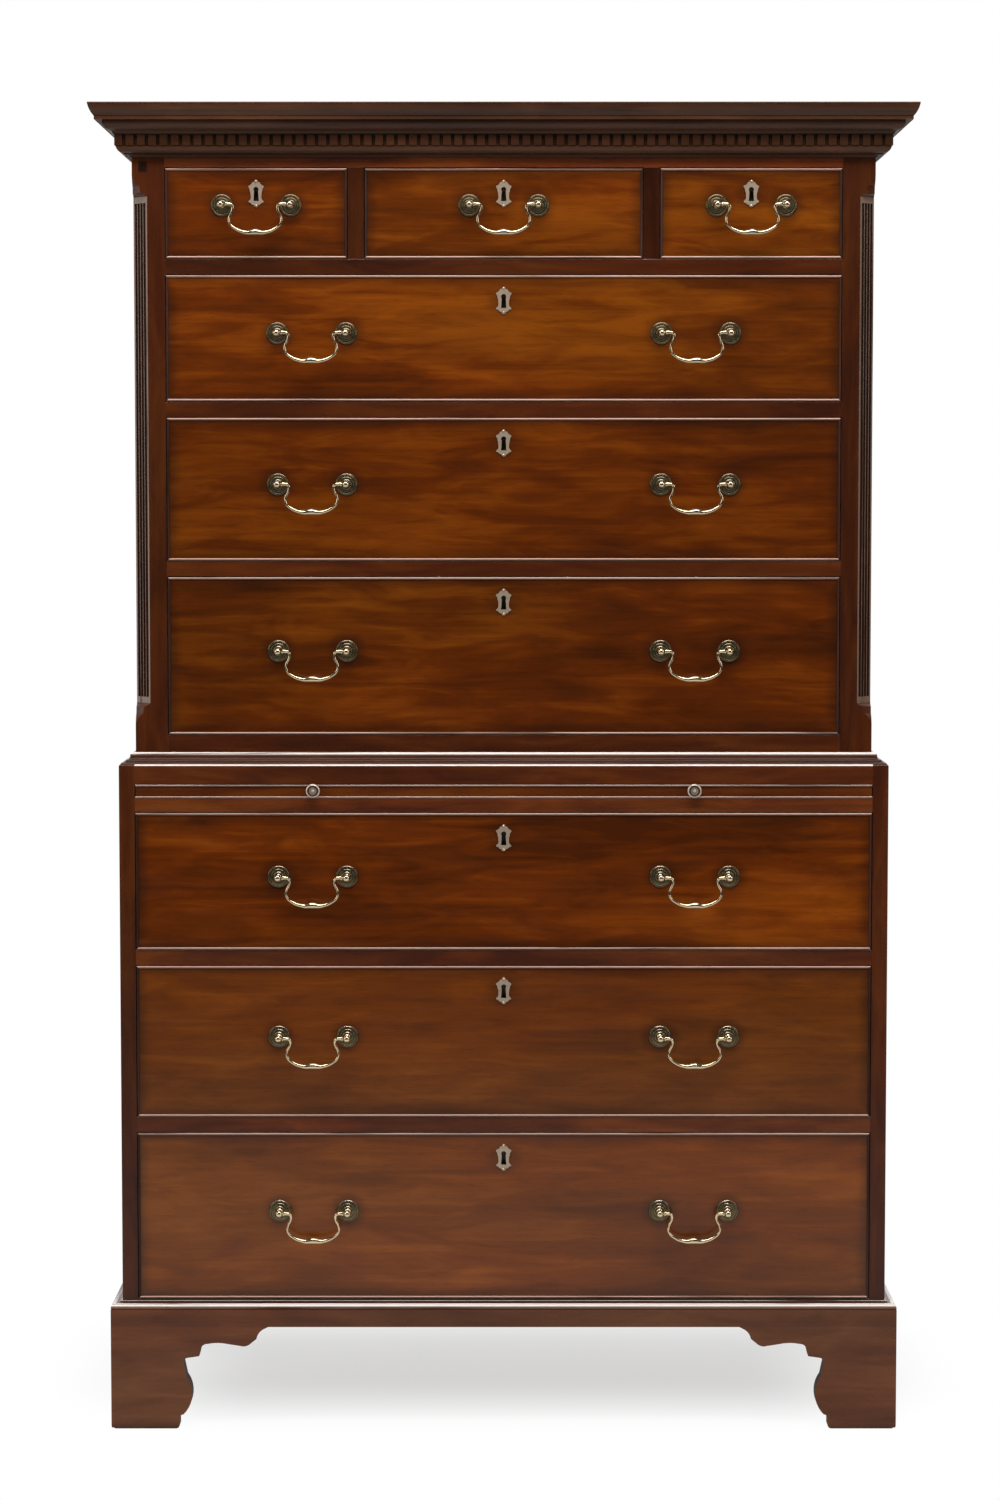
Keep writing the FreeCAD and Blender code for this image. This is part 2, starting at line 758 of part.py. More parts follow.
for level_name, level in (("upper_deep", upper_deep_floor), ("upper_middle", upper_middle_floor),
                          ("upper_shallow", upper_shallow_floor)):
    upper_rails += stops_for(level_name, upper_front, level, stop_centres)
side_handle = (upper_opening + s.divider_centre + s.divider_width / 2) / 2
small_centres = {"top_left": -side_handle, "top_middle": as_size(0.0), "top_right": side_handle}
upper_rails += stops_for("small", upper_front, small_floor, list(small_centres.values()))
sub_part("upper_front_rails", upper_rails)

upper_runner_edges = (upper_inside, upper_inside - s.runner_width)
guide_edges = (upper_inside, upper_opening)
upper_runner_pieces = side_pair("small_kicker", upper_front, upper_runner_edges, small_ceiling,
                                small_ceiling + s.rail_height)
for level_name, level in (("upper_deep", upper_deep_floor), ("upper_middle", upper_middle_floor),
                          ("upper_shallow", upper_shallow_floor), ("small", small_floor)):
    if level is not upper_deep_floor:
        upper_runner_pieces += side_pair(level_name + "_runner", upper_front, upper_runner_edges,
                                         level - s.rail_height, level)
    upper_runner_pieces += side_pair(level_name + "_guide", upper_front, guide_edges, level,
                                     level + s.guide_height)
for side, sign in (("left", -1), ("right", 1)):
    centre = s.divider_centre * sign
    start = upper_front + s.rail_depth
    for kind, half, low, high in (
            ("runner", s.runner_width / 2 + s.divider_width / 2, small_floor - s.rail_height, small_floor),
            ("guide", s.divider_width / 2, small_floor, small_floor + s.guide_height),
            ("kicker", s.runner_width / 2 + s.divider_width / 2, small_ceiling,
             small_ceiling + s.rail_height)):
        upper_runner_pieces.append(board("%s_divider_%s" % (side, kind), (centre - half, start, low),
                                         (centre + half, back_inside, high)))
sub_part("upper_runners", upper_runner_pieces)


# ---------------------------------------------------------------- cornice and dentils
drop = s.cornice_height
reach = s.cornice_projection
dentil_low = as_size(17.2)
dentil_high = dentil_low + s.dentil_height
ogee_low = dentil_high + 1.1
ogee_front = reach - 17.5
cornice_outline = section([
    (0, 3.2), (2.2, 3.2), (2.2, 4.3, GENTLE * 0.8), (9.2, 6.9), (9.2, 8.3, -GENTLE * 0.7),
    (s.dentil_projection - 1.8, dentil_low - 1.0), (s.dentil_projection - 1.8, dentil_low),
    (s.dentil_backing, dentil_low), (s.dentil_backing, dentil_high + 0.6),
    (s.dentil_projection + 1.2, dentil_high + 0.6), (s.dentil_projection + 1.2, ogee_low, GENTLE),
    (s.dentil_projection + 6.0, ogee_low + 4.8, -GENTLE * 0.85),
    (ogee_front, drop - 24.6), (ogee_front, drop - 22.0), (reach - 8.1, drop - 22.0),
    (reach - 8.1, drop - 16.9), (reach - 7.3, drop - 16.9, -SHALLOW * 0.8), (reach - 0.3, drop - 2.4),
    (reach, drop - 2.4), (reach, drop - 1.2, -QUARTER), (reach - 1.2, drop), (0, drop),
])
sub_part("cornice_moulding", wrapped_moulding(
    "cornice", cornice_outline, reach, half_upper, upper_front, chest_top - drop))


def dentil_comb(name, length):
    """A strip with its row of teeth, from x = 0, its back on y = 0."""
    body = new_body(name)
    tooth_depth = s.dentil_projection - s.dentil_backing
    backing = tooth_depth * 0.35
    strip = [(0, 0), (length, 0), (length, -backing), (0, -backing)]
    strip.reverse()
    feature(body, "Pad", sketch_on(body, "XY_Plane", [strip]), Length=s.dentil_height)
    tooth = [(0, -backing), (0, -tooth_depth), (s.dentil_width, -tooth_depth), (s.dentil_width, -backing)]
    first = feature(body, "Pad", sketch_on(body, "XY_Plane", [tooth]), Length=s.dentil_height)
    count = int(length.value // s.dentil_pitch.value) + 1
    repeated(body, first, (origin_item(body, "X_Axis"), [""]), length - s.dentil_width, count)
    return body


dentil_base = chest_top - drop + dentil_low + 0.3
front_comb = dentil_comb("front_dentil_comb", (half_upper + s.dentil_projection) * 2)
side_comb = dentil_comb("side_dentil_comb", back_plane - upper_front + s.dentil_backing)
sub_part("dentil_course", [
    placed("front_dentils", front_comb,
           (-half_upper - s.dentil_projection, upper_front - s.dentil_backing, dentil_base)),
    placed("right_dentils", side_comb,
           (half_upper + s.dentil_backing, upper_front - s.dentil_backing, dentil_base), (0, 0, 1), 90),
    placed("left_dentils", side_comb, (-half_upper - s.dentil_backing, back_plane, dentil_base),
           (0, 0, 1), -90),
])


# ---------------------------------------------------------------- brushing slide
slide_low = slide_floor + s.box_lift
slide_high = slide_low + s.slide_thickness
slide_half = lower_inside - s.drawer_side_gap
strip_back = lower_front + s.slide_strip
strip_outline = [
    (strip_back, slide_high), (strip_back, slide_low), (lower_front, slide_low, -0.52),
    (lower_front, slide_low + s.slide_bead * 2), (lower_front + 1.0, slide_low + s.slide_bead * 2),
    (lower_front + 1.0, slide_high - s.slide_bead * 2), (lower_front, slide_high - s.slide_bead * 2, -0.52),
    (lower_front, slide_high),
]
strip_blank = padded("slide_strip_blank", "YZ_Plane", strip_outline, slide_half * 2, -slide_half)
knob_height = (slide_low + slide_high) / 2 + s.knob_rise
knob_places = [(s.knob_spread * sign, lower_front + 1.0, knob_height) for sign in (-1, 1)]
knob_holes = [rod("knob_hole_%d" % number, s.knob_stem + s.fit_gap, s.slide_strip,
                  (x, lower_front - 1.0, z), (1, 0, 0), -90)
              for number, (x, _, z) in enumerate(knob_places)]
slide_pieces = [
    cut("slide_strip_board", strip_blank, knob_holes),
    board("slide_panel", (-slide_half + s.slide_clamp, strip_back, slide_low),
          (slide_half - s.slide_clamp, lower_front + s.slide_length, slide_high)),
]
for side, sign in (("left", -1), ("right", 1)):
    slide_pieces.append(between("slide_%s_clamp" % side,
                                (slide_half * sign, (slide_half - s.slide_clamp) * sign),
                                (strip_back, lower_front + s.slide_length), (slide_low, slide_high)))
sub_part("slide_board", slide_pieces)

knob_seat = s.slide_thickness / 2 - s.knob_rise - s.slide_bead * 2 - s.box_lift
knob_outline = [
    (0, -s.knob_reach), (1.3, -s.knob_reach, 0.9), (2.2, -s.knob_reach + 1.6),
    (s.knob_radius * 0.62, -s.knob_reach + 1.9), (s.knob_radius * 0.74, -s.knob_reach + 0.8, QUARTER),
    (s.knob_radius, -s.knob_reach + 3.0, QUARTER), (s.knob_radius * 0.86, -s.knob_reach + 5.4, -0.6),
    (knob_seat * 0.85, -2.2), (knob_seat, -1.2), (knob_seat, 0),
    (s.knob_stem, 0), (s.knob_stem, s.slide_strip * 0.75), (0, s.slide_strip * 0.75),
]
knob = turned("slide_knob", knob_outline)
sub_part("slide_knobs", [placed("slide_knob_%d" % number, knob, place)
                         for number, place in enumerate(knob_places)])


# ---------------------------------------------------------------- handle and lock masters
stem_end = s.front_thickness + s.nut_thickness + 2.0
seat = -s.rosette_thickness
ball_centre = -s.post_reach
neck_radius = s.ball_radius * 0.56
flare_radius = s.ball_radius * 0.92


def handle_post(name):
    """A ball-headed post about its local Y axis, drawer face at y = 0, bored for the bail at -x."""
    ball = doc.addObject("Part::Sphere", name + "_ball")
    bind(ball, "Radius", s.ball_radius)
    put(ball, (0, ball_centre, 0))
    stem = turned(name + "_stem", [
        (0, ball_centre), (neck_radius, ball_centre), (neck_radius, seat - 3.4, 0.9),
        (flare_radius, seat - 1.0), (flare_radius, seat), (s.post_stem, seat),
        (s.post_stem, stem_end), (0, stem_end)])
    bore = rod(name + "_bore", s.pin_radius + s.pin_clearance,
               s.ball_radius * 2 + s.pin_past_centre * 2, (-s.ball_radius * 2, ball_centre, 0),
               (0, 1, 0), 90)
    return cut(name, fused(name + "_solid", [ball, stem]), [bore])


post = handle_post("handle_post")
plain_hole = s.post_stem + s.fit_gap / 2
rosette = turned("handle_rosette", [
    (plain_hole, 0), (plain_hole, seat), (s.post_stem + 2.4, seat, -0.9),
    (s.rosette_radius * 0.50, seat * 0.44), (s.rosette_radius * 0.57, seat * 0.44, 0.58),
    (s.rosette_radius * 0.70, seat * 0.40), (s.rosette_radius * 0.80, seat * 0.34, 0.56),
    (s.rosette_radius * 0.985, seat * 0.34), (s.rosette_radius, 0)])

nut = new_body("handle_nut")
half_nut = s.nut_width / 2
nut_sketch = sketch_on(nut, "XZ_Plane", [[(-half_nut, -half_nut), (half_nut, -half_nut),
                                          (half_nut, half_nut), (-half_nut, half_nut)]])
ring(nut_sketch, (0, 0), plain_hole)
nut_pad = feature(nut, "Pad", nut_sketch, Length=s.nut_thickness)
nut_pad.Reversed = True


def bail_shape():
    """The swan-neck bail hanging in the plane y = 0, its pins on the x axis.

    Its bar swells and thins all along, which no pad, pipe or primitive gives, so round
    sections are lofted along the drop from one collar to the other.
    """
    half_post = s.post_spacing.value / 2
    collar = half_post - s.ball_radius.value - 0.4
    neck, bow, low = s.bail_shoulder.value, s.bail_bow.value, s.bail_drop.value
    cusp = s.bail_cusp_rise.value
    end, thin, grip = s.bail_end_radius.value, s.bail_thin_radius.value, s.bail_grip_radius.value
    right_half = (
        # x, z and bar radius, from the collar round the swan neck to the cusp of the grip
        (collar - 1.2, 0.0, end), (collar - 4.5, low * 0.008, end * 0.96),
        (neck + 3.4, low * 0.002, end * 0.88), (neck + 1.0, low * -0.038, end * 0.78),
        (neck, low * -0.112, end * 0.68), (neck + 0.6, low * -0.215, thin * 1.02),
        (neck + 2.3, low * -0.325, thin), (bow - 0.7, low * -0.430, thin),
        (bow, low * -0.535, thin * 1.03), (bow - 0.9, low * -0.660, thin * 1.08),
        (bow * 0.890, low * -0.775, grip * 0.50), (bow * 0.750, low * -0.866, grip * 0.58),
        (bow * 0.565, low * -0.947, grip * 0.67), (bow * 0.385, low * -0.990, grip * 0.76),
        (bow * 0.240, low * -1.000, grip * 0.92), (bow * 0.115, cusp * 0.22 - low, grip + cusp * 0.15),
        (0.0, cusp * 0.33 - low, grip + cusp * 0.28),
    )
    path = list(right_half) + [(-x, z, r) for x, z, r in reversed(right_half[:-1])]
    points = [FreeCAD.Vector(x, 0, z) for x, z, r in path]
    rings = []
    for index, point in enumerate(points):
        before = points[max(index - 1, 0)]
        after = points[min(index + 1, len(points) - 1)]
        along = FreeCAD.Vector(-1, 0, 0) if index in (0, len(points) - 1) else after - before
        rings.append(Part.Wire(Part.makeCircle(path[index][2], point, along)))
    bar = Part.makeLoft(rings, True, False)
    pieces = [bar]
    for sign in (1, -1):
        outwards = FreeCAD.Vector(sign, 0, 0)
        pin_start = FreeCAD.Vector((collar - 2.0) * sign, 0, 0)
        pin_length = half_post - collar + 2.0 + s.pin_past_centre.value
        pieces.append(Part.makeCylinder(s.pin_radius.value, pin_length, pin_start, outwards))
        collar_start = FreeCAD.Vector((collar - 1.3) * sign, 0, 0)
        pieces.append(Part.makeCone(3.4, 3.0, 1.3, collar_start, outwards))
    return pieces[0].fuse(pieces[1:]).removeSplitter()


bail = doc.addObject("Part::Feature", "swan_neck_bail")
bail.Shape = bail_shape()

half_w = s.escutcheon_width / 2
half_h = s.escutcheon_height / 2
right_edge = [
    (0, -half_h), (half_w * 0.25, -half_h * 0.94, -0.9), (half_w * 0.34, -half_h * 0.83),
    (half_w * 0.56, -half_h * 0.79, -GENTLE), (half_w * 0.98, -half_h * 0.64, 0.62),
    (half_w * 0.86, -half_h * 0.49, -GENTLE), (half_w * 0.72, -half_h * 0.18, -SHALLOW),
    (half_w * 0.84, half_h * 0.20, -GENTLE), (half_w, half_h * 0.43, 0.62),
    (half_w * 0.92, half_h * 0.57, -GENTLE), (half_w * 0.50, half_h * 0.79, 0.62),
    (half_w * 0.31, half_h * 0.80, -0.75), (half_w * 0.24, half_h * 0.92),
]


def symmetric(corners, top):
    """A whole outline from its right-hand edge, bottom to top, and its top corner."""
    whole = list(corners) + [top]
    for index in range(len(corners) - 1, 0, -1):
        u, v = corners[index][:2]
        bend = corners[index - 1][2] if len(corners[index - 1]) > 2 else 0.0
        whole.append((-as_size(u), v, bend))
    first_bend = corners[-1][2] if len(corners[-1]) > 2 else 0.0
    if first_bend:
        whole[len(corners)] = (top[0], top[1], first_bend)
    return whole


slot_half = s.keyhole_slot / 2
keyhole_low = -s.keyhole_height * 0.54
keyhole_top = s.keyhole_height * 0.46 - s.keyhole_radius
slot_outline = [(-slot_half * 1.4, keyhole_low), (slot_half * 1.4, keyhole_low),
                (slot_half, keyhole_top), (-slot_half, keyhole_top)]
pin_heights = (half_h * 0.86, -half_h * 0.87)
escutcheon_pin = turned("escutcheon_pin", [
    (0, -s.escutcheon_thickness - 1.2, 0.75), (1.7, -s.escutcheon_thickness),
    (0.7, -s.escutcheon_thickness), (0.7, 8.0), (0, 8.0)])
plate = padded("escutcheon_blank", "XZ_Plane", symmetric(right_edge, (0, half_h)), s.escutcheon_thickness)
keyhole_length = s.front_thickness * 2
keyhole_start = -s.front_thickness / 2
keyhole = fused("keyhole_waste", [
    rod("keyhole_round", s.keyhole_radius, keyhole_length, (0, keyhole_start, keyhole_top), (1, 0, 0), -90),
    padded("keyhole_slot", "XZ_Plane", slot_outline, keyhole_length, -keyhole_start, reverse=True),
])
plate_pin_holes = [rod("plate_pin_hole_%d" % number, 0.7 + s.fit_gap / 2, s.escutcheon_thickness * 4,
                       (0, -s.escutcheon_thickness * 2, z), (1, 0, 0), -90)
                   for number, z in enumerate(pin_heights)]
escutcheon = cut("escutcheon_plate", plate, [keyhole] + plate_pin_holes)

lock_top = s.escutcheon_drop - s.bead_width - s.drawer_top_gap - 3.0
lock_back = s.front_thickness
lock_front = lock_back - s.lock_thickness
lock_case = board("lock_case", (-s.lock_width / 2, lock_front, lock_top - s.lock_height),
                  (s.lock_width / 2, lock_back, lock_top))
lock_pin = rod("lock_pin", 1.5, lock_front - 2.0, (0, 2.0, keyhole_top), (1, 0, 0), -90)
lock = fused("drawer_lock", [lock_case, lock_pin])
lock_recess = board("lock_recess", (-s.lock_width / 2 - s.fit_gap, lock_front, lock_top - s.lock_height
                                    - s.fit_gap),
                    (s.lock_width / 2 + s.fit_gap, lock_back + 1.0, lock_top + s.fit_gap))


# ---------------------------------------------------------------- drawers
def drawer_side(name, length, height):
    """An oak side from its shoulder at y = 0 back to its end, with the lap dovetails in front."""
    body = padded(name, "YZ_Plane", [(0, 0), (length, 0), (length, height), (0, height)],
                  s.lining_thickness)
    tail = s.front_thickness - s.dovetail_lap
    count = max(int(height.value // s.dovetail_pitch.value), 2)
    pitch = height / count
    narrow_low = pitch * 0.24
    narrow_high = pitch * 0.76
    outline = [(0, narrow_low), (0, narrow_high), (-tail, narrow_high + s.dovetail_flare),
               (-tail, narrow_low - s.dovetail_flare)]
    first = feature(body, "Pad", sketch_on(body, "YZ_Plane", [outline]), Length=s.lining_thickness)
    repeated(body, first, (origin_item(body, "Z_Axis"), [""]), pitch * (count - 1), count)
    return body


def bead_strip(name, length):
    """One edge of a cockbead, from x = 0, mitred at both ends, its bed on y = 0."""
    body = new_body(name)
    nose = s.bead_width / 2
    depth = s.bead_bed + s.bead_rise
    outline = [(0, 0), (0, s.bead_width), (nose - depth, s.bead_width, QUARTER), (-depth, nose, QUARTER),
               (nose - depth, 0)]
    feature(body, "Pad", sketch_on(body, "YZ_Plane", [outline]), Length=length)
    reach = s.bead_width * 2
    start_waste = [(0, 0), (0, reach), (reach, reach)]
    end_waste = [(length, 0), (length, reach), (length - reach, reach)]
    for mitre in (start_waste, end_waste):
        pocket = feature(body, "Pocket", sketch_on(body, "XZ_Plane", [mitre]))
        pocket.Type = "ThroughAll"
        pocket.Midplane = True
    return body


def cockbead(name, left, right, low, high, bed):
    """The four strips of the bead round a drawer front."""
    long_strip = bead_strip(name + "_long", right - left)
    short_strip = bead_strip(name + "_short", high - low)
    return [
        placed(name + "_bottom", long_strip, (left, bed, low)),
        placed(name + "_top", long_strip, (right, bed, high), (0, 1, 0), 180),
        placed(name + "_left", short_strip, (left, bed, high), (0, 1, 0), 90),
        placed(name + "_right", short_strip, (right, bed, low), (0, 1, 0), -90),
    ]


def make_drawer(name, left, right, floor, opening, front, length, handles, handle_rise):
    """Front with its bead, box and fittings, and the bails as nodes of their own."""
    low_x = left + s.drawer_side_gap
    high_x = right - s.drawer_side_gap
    low_z = floor + s.front_lift
    high_z = floor + opening - s.drawer_top_gap
    box_z = floor + s.box_lift
    shoulder = front + s.front_thickness
    box_back = front + length
    side_height = high_z - s.lining_drop - box_z
    side = drawer_side(name + "_side", length - s.front_thickness, side_height)
    sides = [placed(name + "_left_side", side, (low_x, shoulder, box_z)),
             placed(name + "_right_side", side, (high_x - s.lining_thickness, shoulder, box_z))]
    beads = cockbead(name + "_bead", low_x, high_x, low_z, high_z, front + s.bead_bed)

    inner_low = low_x + s.lining_thickness
    inner_high = high_x - s.lining_thickness
    bottom_low = box_z + s.slip_height
    bottom_high = bottom_low + s.bottom_thickness
    box = sides + [
        board(name + "_bottom", (inner_low, shoulder, bottom_low), (inner_high, box_back, bottom_high)),
        board(name + "_back", (inner_low, box_back - s.lining_thickness, bottom_high),
              (inner_high, box_back, box_z + side_height - s.back_drop + s.lining_drop)),
        board(name + "_left_slip", (inner_low, shoulder, box_z),
              (inner_low + s.slip_width, box_back, bottom_low)),
        board(name + "_right_slip", (inner_high - s.slip_width, shoulder, box_z),
              (inner_high, box_back, bottom_low)),
    ]
    sub_part(name + "_drawer_box", box)

    middle_x = (left + right) / 2
    pivot_z = floor + opening / 2 + handle_rise
    lock_z = floor + opening - s.escutcheon_drop
    fittings = [
        placed(name + "_escutcheon", escutcheon, (middle_x, front, lock_z)),
        placed(name + "_lock", lock, (middle_x, front, lock_z)),
    ]
    waste = [
        placed(name + "_keyhole", keyhole, (middle_x, front, lock_z)),
        placed(name + "_lock_recess", lock_recess, (middle_x, front, lock_z)),
    ]
    for number, height in enumerate(pin_heights):
        fittings.append(placed("%s_pin_%d" % (name, number), escutcheon_pin,
                               (middle_x, front, lock_z + height)))
        waste.append(rod("%s_pin_hole_%d" % (name, number), 0.7 + s.fit_gap / 2, 9.0,
                         (middle_x, front - 1.0, lock_z + height), (1, 0, 0), -90))
    for handle, centre in handles:
        label = name + "_" + handle if handle else name
        for side_name, sign in (("left", -1), ("right", 1)):
            x = centre + s.post_spacing / 2 * sign
            stem = "%s_%s" % (label, side_name)
            flip = ((0, 1, 0), 180) if sign < 0 else (None, 0)
            fittings.append(placed(stem + "_post", post, (x, front, pivot_z), *flip))
            fittings.append(placed(stem + "_rosette", rosette, (x, front, pivot_z)))
            fittings.append(placed(stem + "_nut", nut, (x, shoulder, pivot_z)))
            waste.append(rod(stem + "_hole", s.post_stem + s.fit_gap, s.front_thickness + 2.0,
                             (x, front - 1.0, pivot_z), (1, 0, 0), -90))
        sub_part(label + "_bail", [placed(label + "_bail_bar", bail,
                                          (centre, front - s.post_reach, pivot_z))])
    sub_part(name + "_drawer_fittings", fittings)

    blank = board(name + "_front_blank", (low_x, front, low_z), (high_x, shoulder, high_z))
    front_board = cut(name + "_front_board", blank, sides + beads + waste)
    sub_part(name + "_drawer_front", [front_board] + beads)


divider_inner = s.divider_centre - s.divider_width / 2
divider_outer = s.divider_centre + s.divider_width / 2
small_edges = {"top_left": (-upper_opening, -divider_outer), "top_middle": (-divider_inner, divider_inner),
               "top_right": (divider_outer, upper_opening)}
for name, (left, right) in small_edges.items():
    make_drawer(name, left, right, small_floor, s.small_opening, upper_front, upper_drawer_length,
                (("", small_centres[name]),), s.small_handle_rise)
pair = (("left", -s.handle_spread), ("right", s.handle_spread))
for name, floor, opening in (("upper_shallow", upper_shallow_floor, s.upper_shallow_opening),
                             ("upper_middle", upper_middle_floor, s.upper_middle_opening),
                             ("upper_deep", upper_deep_floor, s.upper_deep_opening)):
    make_drawer(name, -upper_opening, upper_opening, floor, opening, upper_front,
                upper_drawer_length, pair, s.handle_rise)
for name, floor, opening in (("lower_shallow", lower_shallow_floor, s.lower_shallow_opening),
                             ("lower_middle", lower_middle_floor, s.lower_middle_opening),
                             ("lower_deep", lower_deep_floor, s.lower_deep_opening)):
    make_drawer(name, -lower_inside, lower_inside, floor, opening, lower_front,
                lower_drawer_length, pair, s.handle_rise)

# ---------------------------------------------------------------- checks and files
doc.recompute()
faults = [item.Name for item in doc.Objects if "Invalid" in item.State or "Error" in item.State]
faults += [name for name, item in sub_parts.items() if item.Shape.isNull() or not item.Shape.isValid()]
if faults:
    raise RuntimeError("these objects failed: " + ", ".join(faults))

os.makedirs("parts", exist_ok=True)
for name, item in sub_parts.items():
    item.Shape.exportStep("parts/%s.step" % name)
print("%d sub-parts written" % len(sub_parts))
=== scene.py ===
"""Chest on chest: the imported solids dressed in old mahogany, oak, pine, brass and iron.

Metres, +Z up, the drawer fronts face -Y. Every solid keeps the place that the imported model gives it.
"""
import json
import math
import random

import bmesh
import bpy
import numpy as np
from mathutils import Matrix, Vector

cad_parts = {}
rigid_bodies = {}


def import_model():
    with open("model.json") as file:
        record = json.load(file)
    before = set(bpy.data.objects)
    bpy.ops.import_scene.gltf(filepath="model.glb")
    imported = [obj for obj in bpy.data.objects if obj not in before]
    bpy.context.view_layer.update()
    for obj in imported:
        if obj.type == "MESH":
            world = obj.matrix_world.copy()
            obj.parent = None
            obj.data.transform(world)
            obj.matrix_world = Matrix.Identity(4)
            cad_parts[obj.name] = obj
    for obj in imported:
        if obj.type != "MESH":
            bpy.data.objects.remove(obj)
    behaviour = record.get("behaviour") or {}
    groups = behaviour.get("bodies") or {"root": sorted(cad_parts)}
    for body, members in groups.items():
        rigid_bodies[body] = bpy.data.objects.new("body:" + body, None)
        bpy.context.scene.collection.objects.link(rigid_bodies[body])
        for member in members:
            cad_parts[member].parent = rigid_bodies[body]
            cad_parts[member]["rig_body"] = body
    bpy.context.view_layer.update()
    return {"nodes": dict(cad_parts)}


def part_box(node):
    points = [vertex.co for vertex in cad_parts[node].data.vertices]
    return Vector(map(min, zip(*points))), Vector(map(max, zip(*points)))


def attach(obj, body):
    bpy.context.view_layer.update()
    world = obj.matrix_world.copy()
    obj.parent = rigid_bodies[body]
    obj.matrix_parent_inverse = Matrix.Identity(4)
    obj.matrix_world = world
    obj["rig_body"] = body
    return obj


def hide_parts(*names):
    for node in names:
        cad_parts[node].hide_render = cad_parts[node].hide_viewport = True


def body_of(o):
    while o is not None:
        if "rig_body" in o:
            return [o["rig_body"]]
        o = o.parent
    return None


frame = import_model()

# ---------------------------------------------------------------- camera
LENS_MM = 85.0
CAMERA_PLACE = (-0.00495, -4.9892, 1.2618)
CAMERA_DROP = math.radians(4.1)

camera = bpy.data.objects.new("camera", bpy.data.cameras.new("camera"))
camera.data.lens = LENS_MM
camera.location = CAMERA_PLACE
camera.rotation_euler = (math.radians(90) - CAMERA_DROP, 0, 0)
bpy.context.scene.collection.objects.link(camera)
bpy.context.scene.camera = camera
bpy.context.scene.view_settings.view_transform = "Standard"


# ---------------------------------------------------------------- shader maths
class Value:
    """A node's output that Python's operators work on, by adding Math nodes beside it."""

    def __init__(self, recipe, socket):
        self.recipe = recipe
        self.socket = socket

    def math(self, operation, *inputs):
        return self.recipe.add("ShaderNodeMath", {"operation": operation}, dict(enumerate(inputs)))

    def __add__(self, other):
        return self.math("ADD", self, other)

    def __radd__(self, other):
        return self.math("ADD", other, self)

    def __sub__(self, other):
        return self.math("SUBTRACT", self, other)

    def __rsub__(self, other):
        return self.math("SUBTRACT", other, self)

    def __mul__(self, other):
        return self.math("MULTIPLY", self, other)

    def __rmul__(self, other):
        return self.math("MULTIPLY", other, self)

    def __abs__(self):
        return self.math("ABSOLUTE", self)

    def least(self, other):
        return self.math("MINIMUM", self, other)

    def most(self, other):
        return self.math("MAXIMUM", self, other)

    def hypot(self, other):
        return self.math("SQRT", self * self + other * other)

    def ease(self, low, high):
        """0 up to low, 1 from high on, and a smooth step between; low may be the larger."""
        return self.recipe.add("ShaderNodeMapRange", {"interpolation_type": "SMOOTHSTEP"},
                               {"Value": self, "From Min": low, "From Max": high})


class Recipe:
    """The nodes of one material or of the world, added one by one."""

    def __init__(self, owner):
        owner.use_nodes = True
        self.owner = owner
        self.nodes = owner.node_tree.nodes
        self.links = owner.node_tree.links
        self.nodes.clear()

    def add(self, kind, settings=None, inputs=None, output=0):
        """A node of a type: its settings first, then the values or links of its sockets."""
        node = self.nodes.new(kind)
        for name, setting in (settings or {}).items():
            if name == "stops":
                set_stops(node.color_ramp, setting)
            else:
                setattr(node, name, setting)
        for name, given in (inputs or {}).items():
            if isinstance(given, Value):
                self.links.new(given.socket, node.inputs[name])
            else:
                node.inputs[name].default_value = given
        return Value(self, node.outputs[output]) if len(node.outputs) else node

    def attribute(self, name, output="Vector"):
        return self.add("ShaderNodeAttribute", {"attribute_name": name}, output=output)

    def parts(self, vector):
        """The x, y and z of a vector."""
        split = self.add("ShaderNodeSeparateXYZ", inputs={0: vector}).socket.node
        return [Value(self, split.outputs[axis]) for axis in range(3)]

    def stretched(self, vector, factors):
        return self.add("ShaderNodeVectorMath", {"operation": "MULTIPLY"}, {0: vector, 1: factors})

    def scaled(self, vector, factor):
        return self.add("ShaderNodeVectorMath", {"operation": "SCALE"}, {0: vector, "Scale": factor})

    def noise(self, vector, factors, detail=3.0, roughness=0.55, distortion=0.0):
        """Noise with its own scale along each axis, in features to the metre."""
        return self.add("ShaderNodeTexNoise", None, {
            "Vector": self.stretched(vector, factors), "Scale": 1.0, "Detail": detail,
            "Roughness": roughness, "Distortion": distortion})

    def ramp(self, factor, stops):
        return self.add("ShaderNodeValToRGB", {"stops": stops}, {"Fac": factor})

    def mix(self, factor, first, second, blend="MIX"):
        """One colour over another; both are colours or links."""
        return self.add("ShaderNodeMix", {"data_type": "RGBA", "blend_type": blend, "clamp_factor": True},
                        {0: factor, 6: first, 7: second}, output=2)

    def openness(self, distance):
        """1 in the open, and less in corners and crevices up to that distance wide."""
        return self.add("ShaderNodeAmbientOcclusion", {"samples": 6}, {"Distance": distance}, output="AO")

    def bump(self, height, strength, distance):
        return self.add("ShaderNodeBump", None, {"Height": height, "Strength": strength,
                                                 "Distance": distance})

    def finish(self, constants, **links):
        """The Principled shader and the output; constants go straight on its sockets."""
        shader = self.add("ShaderNodeBsdfPrincipled", None, {**constants, **links})
        self.add("ShaderNodeOutputMaterial", None, {"Surface": shader})
        return self.owner


def set_stops(ramp, stops):
    """A colour ramp's stops from (place, colour) pairs."""
    while len(ramp.elements) < len(stops):
        ramp.elements.new(1.0)
    for element, (place, tone) in zip(ramp.elements, stops):
        element.position = place
        element.color = colour(*tone)


def colour(red, green, blue):
    """A colour with its alpha, for a socket."""
    return (red, green, blue, 1.0)


